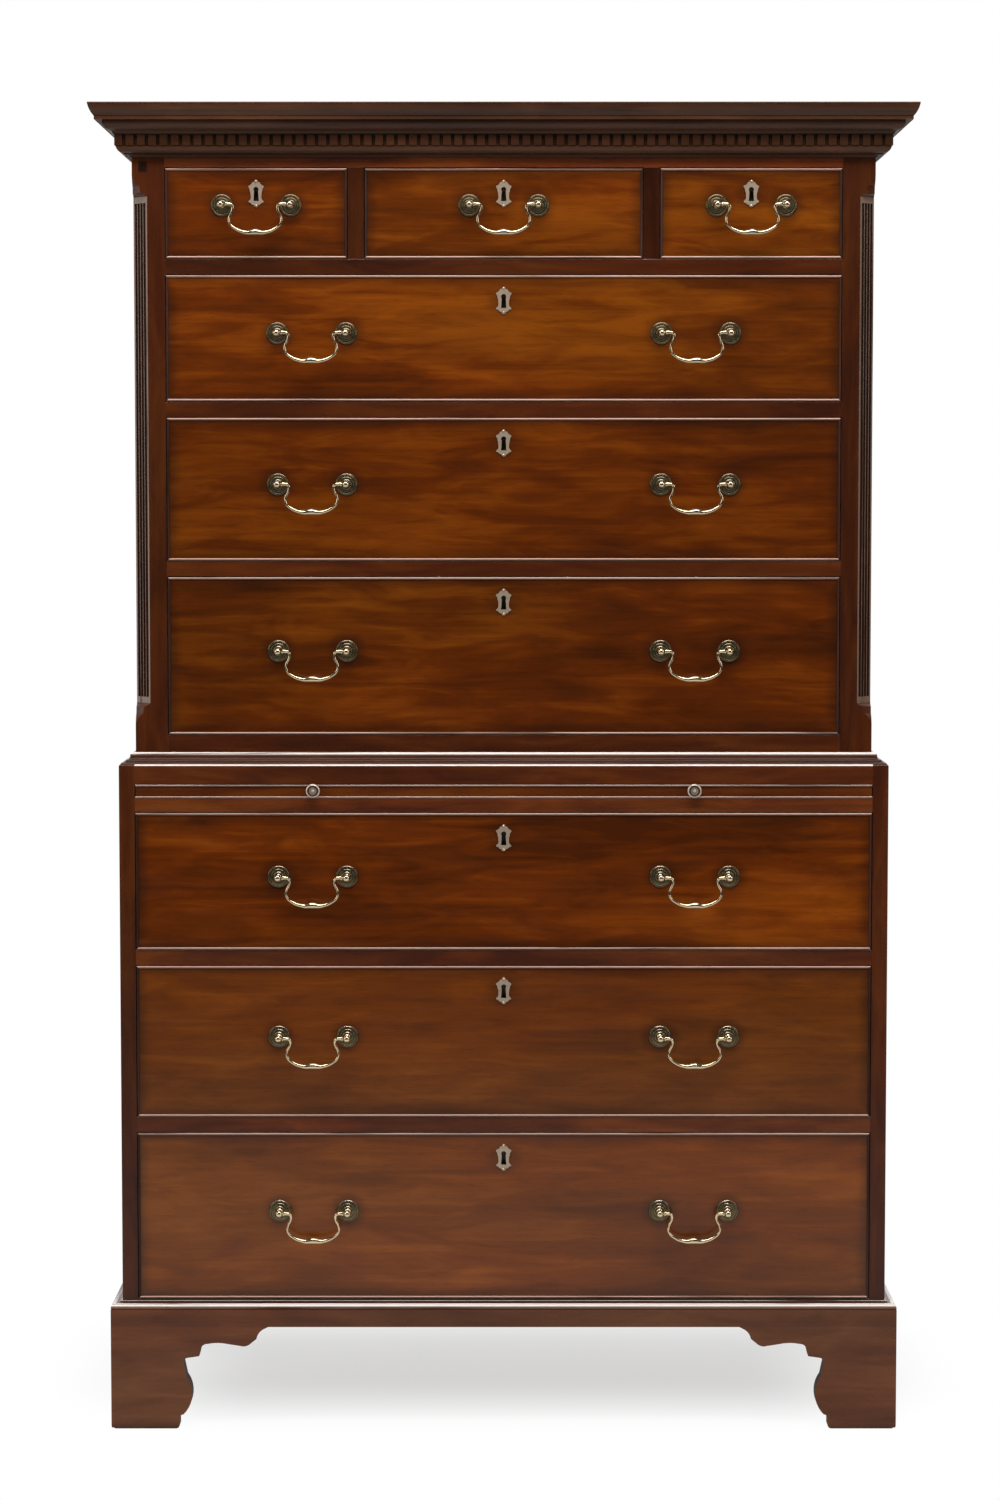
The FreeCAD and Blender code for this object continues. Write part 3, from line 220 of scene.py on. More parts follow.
# ---------------------------------------------------------------- woods
# Near-black: the filling of the pores, and also painted shade in hollows and crevices.
DIRT_AND_SHADE = colour(0.010, 0.005, 0.003)
OLIVE_CAST = colour(0.80, 0.93, 1.00)
WOOD_CREVICE = 0.014
POST_SPACING = 0.092  # between the two posts of a handle
KEYHOLE_DROP = 0.033  # from a drawer front's top edge to its keyhole
DARKENING_WANDER = 0.016
DARK_PATCH_WIDTH = (0.0066, 0.0048)
DARK_PATCH_HEIGHT = (0.0082, 0.0060)


def mahogany(name, dark, middle, light, roughness, specular, edge=(0.30, 0.17, 0.12), edge_wear_and_highlight=0.5,
             highlight_crest=(0.10, 0.75), reach=0.20, gloss=1.0, fronts=False, dark_patch=None):
    """Old polished mahogany: clouds, mottle and streaks along the grain, open pores and wear, and painted
    shade in hollows and crevices.

    A rounded edge is painted pale: a painted highlight where it faces up, eased in by how steeply it faces
    up, and rubbed wear, by reach, elsewhere.
    """
    recipe = Recipe(bpy.data.materials.new(name))
    grain = recipe.attribute("grain")
    clouds = recipe.noise(grain, (1.6, 5.5, 5.5), 2.0, 0.5, 0.8)
    mottle = recipe.noise(grain, (7.5, 38.0, 38.0), 3.0, 0.55, 0.7)
    streaks = recipe.noise(grain, (3.5, 140.0, 140.0), 3.0, 0.6, 0.2)
    pores = recipe.noise(grain, (60.0, 1500.0, 1500.0), 1.0, 0.5)
    figure = clouds * 0.42 + mottle * 0.42 + streaks * 0.16
    tone = recipe.ramp(figure, [(0.37, dark), (0.50, middle), (0.63, light)])
    faded = recipe.noise(grain, (1.3, 4.5, 4.5), 1.0)
    tone = recipe.mix(faded.ease(0.46, 0.64) * 0.7, tone, OLIVE_CAST, "MULTIPLY")
    # Each board's brightness: partly its own tone, and partly painted light and shade by how the light
    # falls on it.
    tone = recipe.scaled(tone, recipe.attribute("shade", "Fac"))
    tone = recipe.mix(pores.ease(0.60, 0.72) * 0.30, tone, DIRT_AND_SHADE)
    bend = recipe.attribute("bend", "Fac")
    # Painted shade along the bottom of hollows.
    tone = recipe.mix((0.0 - bend).most(0.0) * 0.55, tone, DIRT_AND_SHADE)
    # Rounded edges painted pale: a painted highlight where they face up, and rubbed wear elsewhere.
    upward = recipe.parts(recipe.add("ShaderNodeTexCoord", output="Normal"))[2].ease(*highlight_crest)
    wear_and_highlight = bend.most(0.0) * (reach + upward * (1.0 - reach)) * streaks.ease(0.30, 0.46)
    # Painted shade in corners and crevices, from ambient occlusion.
    tone = recipe.mix(recipe.openness(WOOD_CREVICE).ease(0.85, 0.25) * 0.75, tone, DIRT_AND_SHADE)
    tone = recipe.mix(wear_and_highlight * edge_wear_and_highlight, tone, colour(*edge))
    # A dark patch at one given spot.
    if dark_patch:
        x_place, _, z_place = recipe.parts(recipe.add("ShaderNodeTexCoord", output="Object"))
        dark_patch_mask = abs(x_place - dark_patch[0]).ease(*DARK_PATCH_WIDTH) * abs(z_place - dark_patch[1]).ease(*DARK_PATCH_HEIGHT)
        tone = recipe.mix(dark_patch_mask * 0.9, tone, DIRT_AND_SHADE)
    # Drawer fronts darker near their edges, round the handles' posts and round the keyhole.
    if fronts:
        x_place, z_place, z_handle = recipe.parts(recipe.attribute("panel"))
        half_width, half_height, spread = recipe.parts(recipe.attribute("panel_half"))
        wander = recipe.noise(grain, (9.0, 9.0, 9.0), 3.0) * DARKENING_WANDER
        margin = (half_width - abs(x_place)).least(half_height - abs(z_place)) + wander - DARKENING_WANDER / 2
        beside = abs(abs(abs(x_place) - spread) - POST_SPACING / 2).hypot(z_handle)
        beside = beside + wander - DARKENING_WANDER / 2
        keyhole = abs(x_place).hypot((half_height - KEYHOLE_DROP) - z_place)
        front_darkening = margin.ease(0.022, 0.0).most(beside.ease(0.030, 0.014) * 0.75)
        front_darkening = front_darkening.most(keyhole.ease(0.030, 0.012) * 0.5)
        tone = recipe.mix(front_darkening * 0.5, tone, DIRT_AND_SHADE)
    sheen = recipe.noise(grain, (6.0, 30.0, 30.0), 3.0)
    height = pores * 0.3 + streaks * 0.7
    return recipe.finish(
        {"Specular IOR Level": specular, "Coat Roughness": 0.16, "Coat IOR": 1.8},
        **{"Base Color": tone, "Roughness": roughness + (sheen - 0.5) * 0.2, "Coat Weight": wear_and_highlight * gloss,
           "Normal": recipe.bump(height, 0.10, 0.0005)})


def plain_wood(name, dark, light, roughness, pitch):
    """Unpolished secondary wood with growth bands, fine fibre and handling marks."""
    recipe = Recipe(bpy.data.materials.new(name))
    grain = recipe.attribute("grain")
    bands = recipe.noise(grain, (1.6, pitch, pitch), 3.0, 0.5, 1.2)
    fibre = recipe.noise(grain, (22.0, 900.0, 900.0), 2.0, 0.6)
    stains = recipe.noise(grain, (5.0, 8.0, 8.0), 3.0, 0.6)
    tone = recipe.ramp(bands * 0.6 + fibre * 0.4, [(0.36, dark), (0.62, light)])
    tone = recipe.mix(stains.ease(0.50, 0.72) * 0.45, tone, colour(*[value * 0.45 for value in dark]))
    return recipe.finish({}, **{"Base Color": tone, "Roughness": roughness + (fibre - 0.5) * 0.2,
                                "Normal": recipe.bump(fibre, 0.25, 0.0005)})


# ---------------------------------------------------------------- brass
BRASS_CREVICE = 0.006


def old_brass(name, bright, patina_and_shade, amount, roughness, metallic=1.0, highlight_crest=None, turned=False):
    """Lacquer-worn brass: bright where hands reach, brown in patches and in the hollows, and darker below
    as painted shade.

    Rims that face up take the given pale colour as a painted highlight, and a turned knob has painted
    shade in the groove and dish of its face.
    """
    recipe = Recipe(bpy.data.materials.new(name))
    place = recipe.add("ShaderNodeTexCoord", output="Object")
    clouds = recipe.noise(place, (70.0, 70.0, 70.0), 3.0, 0.6)
    specks = recipe.noise(place, (600.0, 600.0, 600.0), 2.0, 0.6)
    tarnish_and_shade = (clouds * 0.8 + specks * 0.2).ease(0.62 - amount * 0.3, 0.90 - amount * 0.3)
    tarnish_and_shade = tarnish_and_shade.most(recipe.openness(BRASS_CREVICE).ease(0.80, 0.30))
    upward = recipe.parts(recipe.add("ShaderNodeTexCoord", output="Normal"))[2]
    # Painted shade where the surface faces down.
    tarnish_and_shade = tarnish_and_shade.most(upward.ease(-0.25, -0.85) * 0.8)
    tone = recipe.mix(tarnish_and_shade * 0.85, colour(*bright), colour(*patina_and_shade))
    if highlight_crest:
        # A painted highlight on rims that face up.
        tone = recipe.mix(upward.ease(0.40, 0.75) * (1.0 - tarnish_and_shade), tone, colour(*highlight_crest))
    if turned:
        # Painted shade in the groove and dish of a turned knob's face.
        radius = recipe.attribute("shade", "Fac")
        groove = abs(radius - 0.66).ease(0.17, 0.09)
        dish = radius.ease(0.20, 0.27) * radius.ease(0.80, 0.72)
        tone = recipe.mix(groove.most(dish * 0.55), tone, colour(*patina_and_shade))
    return recipe.finish({}, **{
        "Base Color": tone, "Roughness": roughness + tarnish_and_shade * 0.16, "Metallic": metallic - tarnish_and_shade * 0.15,
        "Normal": recipe.bump(specks, 0.03, 0.0001)})


# ---------------------------------------------------------------- finishes
# Pale edge colours below are painted highlights on rounded edges that face up, mixed with rubbed wear.
MAHOGANIES = {
    "mahogany_front": dict(
        dark=(0.058, 0.0120, 0.0018), middle=(0.122, 0.0225, 0.0018), light=(0.225, 0.050, 0.0028),
        roughness=0.18, specular=0.25, fronts=True),
    "mahogany_case": dict(
        dark=(0.032, 0.0072, 0.0030), middle=(0.062, 0.0132, 0.0032), light=(0.100, 0.0235, 0.0042),
        # A near-white painted highlight on the case's rounded top edges.
        roughness=0.26, specular=0.22, edge=(0.85, 0.74, 0.66), edge_wear_and_highlight=1.0, highlight_crest=(0.15, 0.50),
        reach=0.05, gloss=0.4),
    "mahogany_waist": dict(
        dark=(0.050, 0.012, 0.004), middle=(0.088, 0.022, 0.006), light=(0.130, 0.036, 0.009),
        # A near-white painted highlight on the waist moulding's rounded edges.
        roughness=0.26, specular=0.20, edge=(0.98, 0.89, 0.83), edge_wear_and_highlight=1.0, highlight_crest=(0.30, 0.62),
        reach=0.06, gloss=0.1),
    "mahogany_base": dict(
        dark=(0.066, 0.018, 0.006), middle=(0.108, 0.031, 0.010), light=(0.150, 0.047, 0.016),
        # A near-white painted highlight on the base moulding's nose.
        roughness=0.26, specular=0.22, edge=(0.93, 0.84, 0.77), edge_wear_and_highlight=1.0, highlight_crest=(0.32, 0.64),
        reach=0.12, gloss=0.2),
    "mahogany_cornice": dict(
        dark=(0.030, 0.010, 0.004), middle=(0.052, 0.0175, 0.0065), light=(0.078, 0.028, 0.011),
        roughness=0.36, specular=0.18, edge=(0.13, 0.065, 0.040), edge_wear_and_highlight=0.6, gloss=0.1),
    # Level beads: a paler copy with pale edges, as a painted highlight.
    "mahogany_level_bead_lit": dict(
        dark=(0.080, 0.030, 0.016), middle=(0.130, 0.055, 0.034), light=(0.180, 0.080, 0.050),
        roughness=0.34, specular=0.15, edge=(0.60, 0.37, 0.28), edge_wear_and_highlight=1.0, highlight_crest=(-0.15, 0.50),
        reach=0.25, gloss=0.1),
    # Upright beads: a much darker copy of the bead's finish, as painted shade.
    "mahogany_upright_bead_shaded": dict(
        dark=(0.020, 0.0085, 0.006), middle=(0.038, 0.0155, 0.011), light=(0.062, 0.025, 0.018),
        roughness=0.45, specular=0.08, edge=(0.12, 0.06, 0.04), edge_wear_and_highlight=0.3, gloss=0.0),
    # Lower drawers: a plainer figure, and browner and paler in part as a painted reflection of the floor.
    "mahogany_front_plain": dict(
        dark=(0.078, 0.0185, 0.0035), middle=(0.120, 0.0280, 0.0035), light=(0.178, 0.0450, 0.0050),
        roughness=0.18, specular=0.25, fronts=True),
    "mahogany_post": dict(
        dark=(0.027, 0.0060, 0.0025), middle=(0.054, 0.0112, 0.0028), light=(0.088, 0.0200, 0.0036),
        # Flute ridges rubbed pale, with a painted highlight where they face up.
        roughness=0.26, specular=0.22, edge=(0.26, 0.185, 0.13), edge_wear_and_highlight=0.75, highlight_crest=(0.15, 0.60),
        reach=0.75, gloss=0.3, dark_patch=(-0.4815, 1.700)),
    "mahogany_slide": dict(
        dark=(0.040, 0.009, 0.003), middle=(0.085, 0.018, 0.003), light=(0.135, 0.032, 0.004),
        # The slide's beads get pale edges as a painted highlight.
        roughness=0.26, specular=0.20, edge=(0.58, 0.38, 0.29), edge_wear_and_highlight=0.9, highlight_crest=(0.10, 0.60),
        reach=0.45, gloss=0.2),
    "mahogany_sawn": dict(
        dark=(0.012, 0.005, 0.003), middle=(0.020, 0.008, 0.005), light=(0.030, 0.012, 0.007),
        roughness=0.60, specular=0.10),
}
PLAIN_WOODS = {
    "oak": dict(dark=(0.150, 0.080, 0.036), light=(0.300, 0.180, 0.090), roughness=0.62, pitch=60.0),
    "pine": dict(dark=(0.130, 0.070, 0.034), light=(0.270, 0.160, 0.080), roughness=0.68, pitch=24.0),
}
# The pale rim colours of the rosettes and plates are painted highlights; the knob's face has painted shade
# in its groove.
METALS = {
    "brass": dict(bright=(0.66, 0.53, 0.33), patina_and_shade=(0.17, 0.115, 0.055), amount=0.28, roughness=0.20),
    "brass_dark": dict(bright=(0.135, 0.105, 0.055), patina_and_shade=(0.040, 0.029, 0.015), amount=0.40,
                       roughness=0.26, metallic=0.9, highlight_crest=(0.70, 0.57, 0.44)),
    "brass_plate": dict(bright=(0.43, 0.325, 0.235), patina_and_shade=(0.18, 0.125, 0.08), amount=0.32,
                        roughness=0.34, metallic=0.45, highlight_crest=(0.80, 0.66, 0.54)),
    "brass_knob": dict(bright=(0.66, 0.53, 0.43), patina_and_shade=(0.05, 0.025, 0.015), amount=0.20,
                       roughness=0.34, metallic=0.5, turned=True),
    "iron": dict(bright=(0.10, 0.085, 0.07), patina_and_shade=(0.03, 0.022, 0.018), amount=0.50,
                 roughness=0.50, metallic=0.8),
}
MATERIALS = {name: maker(name, **look)
             for maker, looks in ((mahogany, MAHOGANIES), (plain_wood, PLAIN_WOODS), (old_brass, METALS))
             for name, look in looks.items()}


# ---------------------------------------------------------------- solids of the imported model
EASED_ANGLE = math.radians(32)
FLAT_ANGLE = math.radians(0.6)
FULL_BEND = math.radians(6)
SHARPEST_TURN = math.radians(50)
STRIP_LENGTH = 0.03
STRIP_WIDTH = 0.0026
NEAR = 0.0001


def closed_solids(mesh):
    """The welded corners of a node, and each closed solid as a list of rings of them."""
    places = np.empty(len(mesh.vertices) * 3, dtype=np.float32)
    mesh.vertices.foreach_get("co", places)
    corners, welded = np.unique(places.reshape(-1, 3), axis=0, return_inverse=True)
    welded = welded.reshape(-1).tolist()
    solids = []
    rings = []
    unmatched = set()
    for polygon in mesh.polygons:
        ring = [welded[vertex] for vertex in polygon.vertices]
        rings.append(ring)
        for start, end in zip(ring, ring[1:] + ring[:1]):
            if start != end:
                unmatched ^= {(min(start, end), max(start, end))}
        if not unmatched:
            solids.append(rings)
            rings = []
    if rings:
        solids.append(rings)
    return [Vector(corner) for corner in corners.tolist()], solids


def round_off(solid, edges, radius, segments):
    """Edges of a solid rounded by a radius."""
    bmesh.ops.bevel(solid, geom=edges, offset=radius, offset_type="OFFSET", segments=segments, profile=0.5,
                    affect="EDGES", clamp_overlap=True)


def eased_solid(corners, rings, arris=0.0, seam=None, crown=0.0):
    """One solid with its flat faces whole again and its outer arrises rounded off, but for a seam's.

    The edges round its top are rounded by the crown's radius.
    """
    solid = bmesh.new()
    points = {}
    for ring in rings:
        for corner in ring:
            if corner not in points:
                points[corner] = solid.verts.new(corners[corner])
        if len(set(ring)) > 2:
            solid.faces.new([points[corner] for corner in ring])
    bmesh.ops.dissolve_limit(solid, angle_limit=FLAT_ANGLE, verts=solid.verts[:], edges=solid.edges[:])
    if crown:
        summit = max(vertex.co.z for vertex in solid.verts)
        upper = [edge for edge in solid.edges if all(vertex.co.z > summit - NEAR for vertex in edge.verts)]
        round_off(solid, upper, crown, 5)
    if arris:
        sharp = [edge for edge in solid.edges
                 if len(edge.link_faces) == 2 and edge.is_convex and edge.calc_face_angle() > EASED_ANGLE
                 and not (seam and all(abs(vertex.co.z - seam) < NEAR for vertex in edge.verts))]
        round_off(solid, sharp, arris, 2)
    for edge in solid.edges:
        edge.smooth = len(edge.link_faces) == 2 and edge.calc_face_angle() < EASED_ANGLE
    for face in solid.faces:
        face.smooth = True
    return solid


def is_strip(face):
    """Whether a face is one long narrow strip of a rounded edge or hollow."""
    longest = max(edge.calc_length() for edge in face.edges)
    return longest > STRIP_LENGTH and face.calc_area() < STRIP_WIDTH * longest


def bend_of(vertex, strips):
    """1 along the crown of a rounded edge, -1 along the bottom of a hollow, 0 on flat faces."""
    turns = [edge.calc_face_angle_signed() for edge in vertex.link_edges
             if len(edge.link_faces) == 2 and strips.issuperset(edge.link_faces)]
    turns = [turn for turn in turns if abs(turn) < SHARPEST_TURN]
    return max(-1.0, min(1.0, max(turns, key=abs, default=0.0) / FULL_BEND))


def board_axes(solid):
    """The middle and size of a solid, and its axes in order of length: along, across and through it."""
    places = [vertex.co for vertex in solid.verts]
    low = Vector([min(place[axis] for place in places) for axis in range(3)])
    high = Vector([max(place[axis] for place in places) for axis in range(3)])
    size = high - low
    order = sorted(range(3), key=lambda axis: -size[axis])
    return (low + high) / 2, size, order


GRAIN_SPREAD = 40  # metres each way, for a board's own place in the grain
EDGE_ON = 0.5
NORMAL_WEIGHT = 90


class Dressing:
    """A copy of a node's solids in one mesh, with a grain of its own for each board."""

    def __init__(self, node_name):
        self.node = frame["nodes"][node_name]
        self.name = node_name
        self.slot = self.node.data.materials[0].name
        self.random = random.Random(node_name)
        self.materials = []
        self.mesh = bmesh.new()
        self.grain = self.mesh.verts.layers.float_vector.new("grain")
        self.bend = self.mesh.verts.layers.float.new("bend")
        self.panel = self.mesh.verts.layers.float_vector.new("panel")
        self.panel_half = self.mesh.verts.layers.float_vector.new("panel_half")
        self.shade = self.mesh.verts.layers.float.new("shade")

    def add(self, solid, material, panel=None, shared_grain=False, worn=True, shade=1.0, sawn=None,
            turned=False):
        """One solid with its finish; panel gives the handle height and spread on a drawer front.

        A turned solid has the distance from its axis in place of its shade, 1 at the rim.
        """
        for finish in (material, sawn):
            if finish and finish not in self.materials:
                self.materials.append(finish)
        middle, size, order = board_axes(solid)
        shift = Vector([self.random.uniform(-GRAIN_SPREAD, GRAIN_SPREAD) for _ in range(3)])
        if shared_grain:
            shift = Vector([middle[axis] for axis in order])
        solid.normal_update()
        strips = {face for face in solid.faces if is_strip(face)} if worn else set()
        copies = {}
        for vertex in solid.verts:
            copy = self.mesh.verts.new(vertex.co)
            place = vertex.co - middle
            copy[self.grain] = Vector([place[axis] for axis in order]) + shift
            copy[self.bend] = bend_of(vertex, strips)
            copy[self.shade] = math.hypot(place.x, place.z) / (size.x / 2) if turned else shade
            if panel:
                copy[self.panel] = (place.x, place.z, vertex.co.z - panel[0])
                copy[self.panel_half] = (size.x / 2, size.z / 2, panel[1])
            copies[vertex] = copy
        for face in solid.faces:
            copy = self.mesh.faces.new([copies[vertex] for vertex in face.verts])
            copy.smooth = face.smooth
            is_sawn = sawn and abs(face.normal[order[2]]) < EDGE_ON
            copy.material_index = self.materials.index(sawn if is_sawn else material)
        for edge in solid.edges:
            if not edge.smooth:
                self.mesh.edges.get((copies[edge.verts[0]], copies[edge.verts[1]])).smooth = False
        solid.free()

    def done(self):
        """The finished piece in place of its node."""
        mesh = bpy.data.meshes.new("dressed_" + self.name)
        self.mesh.to_mesh(mesh)
        self.mesh.free()
        for material in self.materials:
            mesh.materials.append(MATERIALS[material])
        piece = bpy.data.objects.new("dressed_" + self.name, mesh)
        bpy.context.scene.collection.objects.link(piece)
        normals = piece.modifiers.new("even_normals", "WEIGHTED_NORMAL")
        normals.keep_sharp = True
        normals.weight = NORMAL_WEIGHT
        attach(piece, body_of(self.node)[0])
        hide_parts(self.name)


# ---------------------------------------------------------------- wooden nodes
PLAIN_ARRIS = 0.0005
ARRISES = {
    "lower_sides": 0.0008, "upper_sides": 0.0008, "lower_front_rails": 0.0004, "upper_front_rails": 0.0004,
    "bracket_feet": 0.0012, "base_moulding": 0.0, "waist_moulding": 0.0009, "cornice_moulding": 0.0006,
    "dentil_course": 0.0004, "canted_corners": 0.0004, "slide_board": 0.0004,
}
# Brightness of each board's colour: partly its own tone, and partly painted light and shade, with the
# lower drawers and the feet made lighter.
BOARD_TONE_AND_LIGHT = {
    "upper_shallow": 0.94, "upper_middle": 0.76, "upper_deep": 0.82,
    "lower_shallow": 1.02, "lower_middle": 1.18, "lower_deep": 1.34,
    "base_moulding": 1.05, "bracket_feet": 1.25, "top_left": 0.97, "top_middle": 0.94, "top_right": 0.94,
}
RAIL_TONE_AND_LIGHT = {  # pairs of a height and the brightness of the rails above it; the frieze in the cornice's shadow is painted much lighter as painted light, and the lower rails lighter too
    "upper_front_rails": ((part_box("top_middle_drawer_front")[1][2], 2.5), (0.0, 1.0)),
    "lower_front_rails": ((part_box("slide_board")[1][2], 1.30), (0.0, 1.75)),
}
# The dividers between the small drawers are made darker.
DIVIDER_TONE_AND_LIGHT = 0.55
OWN_FINISHES = {"waist_moulding": "mahogany_waist", "slide_board": "mahogany_slide",
                "canted_corners": "mahogany_post"}
FOOT_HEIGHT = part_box("bracket_feet")[1][2]
TOP_ROUND = 0.003
HANDLE_SPREAD = 0.257  # from the middle of a long drawer to the middle of a handle
PIN_ABOVE = 0.0034  # from the handles' height up to the top of a bail
BEAD_LIMIT = 0.02
PLAIN_DRAWERS = ("lower_middle", "lower_deep")
WOODS = ("mahogany_case", "mahogany_cornice", "oak", "pine")


def dress_boards(name):
    """A node of plain boards or mouldings."""
    dressing = Dressing(name)
    based = name in ("base_moulding", "bracket_feet")
    finish = "mahogany_base" if based else OWN_FINISHES.get(name, dressing.slot)
    corners, solids = closed_solids(dressing.node.data)
    for rings in solids:
        solid = eased_solid(corners, rings, ARRISES.get(name, PLAIN_ARRIS), FOOT_HEIGHT if based else None,
                            TOP_ROUND if name == "lower_sides" else 0.0)
        middle, size, _ = board_axes(solid)
        # Each board's brightness, partly painted light and shade.
        shade = BOARD_TONE_AND_LIGHT.get(name, 1.0)
        if name in RAIL_TONE_AND_LIGHT:
            shade = next(value for low, value in RAIL_TONE_AND_LIGHT[name] if middle.z > low)
            if size.z > size.x:
                shade = DIVIDER_TONE_AND_LIGHT
        dressing.add(solid, finish, shared_grain=based, shade=shade,
                     sawn="mahogany_sawn" if name == "bracket_feet" else None)
    dressing.done()


def dress_front(name):
    """A drawer front: the largest solid is the board, and the others are its bead."""
    dressing = Dressing(name)
    drawer = name[:-len("_drawer_front")]
    handles = [bail for bail in frame["nodes"] if bail.startswith(drawer) and bail.endswith("_bail")]
    pivot = max(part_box(bail)[1][2] for bail in handles) - PIN_ABOVE
    spread = HANDLE_SPREAD if len(handles) > 1 else 0.0
    corners, solids = closed_solids(dressing.node.data)
    for rings in solids:
        solid = eased_solid(corners, rings)
        size = board_axes(solid)[1]
        if min(size.z, size.x) > BEAD_LIMIT:
            dressing.add(solid, "mahogany_front_plain" if drawer in PLAIN_DRAWERS else "mahogany_front",
                         (pivot, spread), worn=False, shade=BOARD_TONE_AND_LIGHT.get(drawer, 1.0))
        else:
            # Level beads take a painted highlight, and upright beads a darker copy as painted shade.
            dressing.add(solid, "mahogany_level_bead_lit" if size.x > size.z else "mahogany_upright_bead_shaded")
    dressing.done()


for node_name, node in frame["nodes"].items():
    finish = node.data.materials[0].name
    if node_name.endswith("_drawer_front"):
        dress_front(node_name)
    elif finish in WOODS:
        dress_boards(node_name)


# ---------------------------------------------------------------- metal nodes
ROSETTE_WIDTH = 0.028
LOCK_WIDTH = 0.05
ESCUTCHEON_HEIGHT = 0.035
ESCUTCHEON_ARRIS = 0.0005


def dress_fittings(name):
    """Lock, escutcheon, rosettes, posts, nuts and pins, each finished by its size."""
    dressing = Dressing(name)
    corners, solids = closed_solids(dressing.node.data)
    for rings in solids:
        solid = eased_solid(corners, rings)
        size = board_axes(solid)[1]
        if size.x > LOCK_WIDTH:
            dressing.add(solid, "iron")
        elif size.z > ESCUTCHEON_HEIGHT:
            solid.free()
            dressing.add(eased_solid(corners, rings, ESCUTCHEON_ARRIS), "brass_plate")
        else:
            dressing.add(solid, "brass_dark" if size.x > ROSETTE_WIDTH else "brass")
    dressing.done()


def dress_knobs(name):
    """Turned knobs, each corner marked with its distance from the knob's axis."""
    dressing = Dressing(name)
    corners, solids = closed_solids(dressing.node.data)
    for rings in solids:
        dressing.add(eased_solid(corners, rings), "brass_knob", turned=True)
    dressing.done()


def polish(node, material):
    """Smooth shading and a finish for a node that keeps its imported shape."""
    node.data.materials.clear()
    node.data.materials.append(MATERIALS[material])
    node.data.polygons.foreach_set("use_smooth", [True] * len(node.data.polygons))
    node.data.update()


for node_name, node in frame["nodes"].items():
    if node_name.endswith("_drawer_fittings"):
        dress_fittings(node_name)
    elif node_name.endswith("_bail"):
        polish(node, "brass")
    elif node_name == "slide_knobs":
        dress_knobs(node_name)


# ---------------------------------------------------------------- floor, studio and lamps
FLOOR_HALF = 14.0
FLOOR_LIFT = 0.62  # how much of the shadow is painted over with white
SHADOW_HALF = 0.34
SHADOW_BACK = 0.12
SHADOW_DEPTH = 0.10
SHADOW_FADE = 0.34
MIRRORED_FADE = (1.0, 3.0)
DARK_FADE = (2.2, 4.0)


def floor_finish():
    """A pale floor that shows as white and keeps a soft part of the shadow."""
    recipe = Recipe(bpy.data.materials.new("studio_floor"))
    rays = recipe.add("ShaderNodeLightPath")
    camera_ray = Value(recipe, rays.socket.node.outputs["Is Camera Ray"])
    glossy_ray = Value(recipe, rays.socket.node.outputs["Is Glossy Ray"])
    x_place, y_place, _ = recipe.parts(recipe.add("ShaderNodeTexCoord", output="Object"))
    beyond = x_place.hypot(y_place)
    sideways = (abs(x_place) - SHADOW_HALF).most(0.0)
    beside = sideways.hypot((abs(y_place - SHADOW_BACK) - SHADOW_DEPTH).most(0.0))
    near = 1.0 - beside.ease(0.0, SHADOW_FADE)
    shown = camera_ray * (1.0 - near * (1.0 - FLOOR_LIFT))
    mirrored = glossy_ray * (1.0 - beyond.ease(*MIRRORED_FADE)) * 0.8
    matt = recipe.add("ShaderNodeBsdfDiffuse", None, {"Color": colour(0.86, 0.86, 0.86)})
    white = recipe.add("ShaderNodeEmission", None, {"Color": colour(1, 1, 1), "Strength": 1.0})
    dark = recipe.add("ShaderNodeBsdfDiffuse", None, {"Color": colour(0.02, 0.02, 0.02)})
    shader = recipe.add("ShaderNodeMixShader", None, {0: shown.most(mirrored), 1: matt, 2: white})
    shader = recipe.add("ShaderNodeMixShader", None,
                        {0: glossy_ray * beyond.ease(*DARK_FADE), 1: shader, 2: dark})
    recipe.add("ShaderNodeOutputMaterial", None, {"Surface": shader})
    return recipe.owner


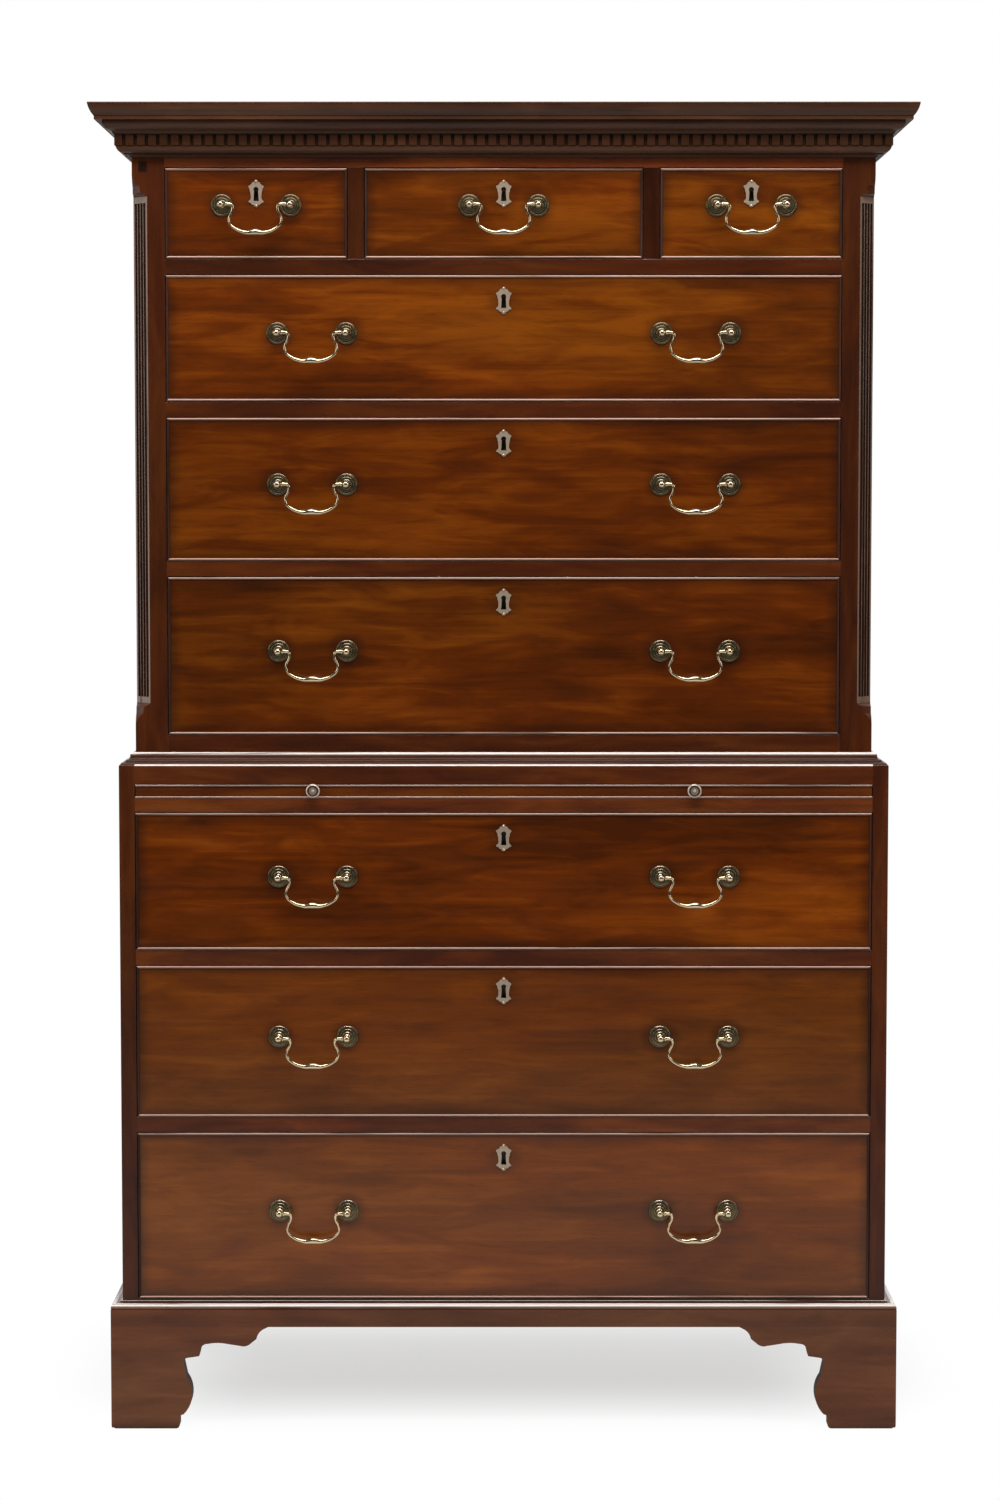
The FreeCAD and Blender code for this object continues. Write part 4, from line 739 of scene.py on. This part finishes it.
floor_mesh = bpy.data.meshes.new("studio_floor")
floor_mesh.from_pydata([(-FLOOR_HALF, -FLOOR_HALF, 0), (FLOOR_HALF, -FLOOR_HALF, 0),
                        (FLOOR_HALF, FLOOR_HALF, 0), (-FLOOR_HALF, FLOOR_HALF, 0)], [], [(0, 1, 2, 3)])
floor_mesh.materials.append(floor_finish())
floor = bpy.data.objects.new("studio_floor", floor_mesh)
bpy.context.scene.collection.objects.link(floor)

world = bpy.data.worlds.new("studio")
bpy.context.scene.world = world
sky = Recipe(world)
rays = sky.add("ShaderNodeLightPath")
seen = Value(sky, rays.socket.node.outputs["Is Camera Ray"])
_, depth_way, height_way = sky.parts(sky.add("ShaderNodeTexCoord", output="Generated"))
mirrored = Value(sky, rays.socket.node.outputs["Is Glossy Ray"])
backdrop = depth_way.ease(-0.1, 0.7) * 0.55 * (1.0 - mirrored) + depth_way.ease(0.1, 0.5) * 0.95 * mirrored
room = 0.05 + backdrop + height_way.ease(0.3, 1.0) * 0.25 * (1.0 - mirrored)
light = sky.add("ShaderNodeBackground", None, {
    "Color": colour(1, 1, 1), "Strength": seen + (1.0 - seen) * room})
sky.add("ShaderNodeOutputWorld", None, {"Surface": light})


def softbox(name, place, target, width, height, watts):
    """An area lamp that faces a point."""
    lamp = bpy.data.lights.new(name, "AREA")
    lamp.shape = "RECTANGLE"
    lamp.size = width
    lamp.size_y = height
    lamp.energy = watts
    item = bpy.data.objects.new(name, lamp)
    item.location = place
    item.rotation_euler = (Vector(target) - Vector(place)).to_track_quat("-Z", "Y").to_euler()
    bpy.context.scene.collection.objects.link(item)


softbox("top_softbox", (0.0, -1.5, 3.3), (0, 0, 0.9), width=2.4, height=0.9, watts=75)
softbox("left_softbox", (-3.4, -1.9, 2.2), (0, 0, 0.8), width=1.4, height=2.2, watts=32)
softbox("right_softbox", (3.4, -1.9, 2.2), (0, 0, 0.8), width=1.4, height=2.2, watts=32)
softbox("window", (-3.6, 0.3, 1.3), (0, -0.2, 1.2), width=1.2, height=2.6, watts=15)
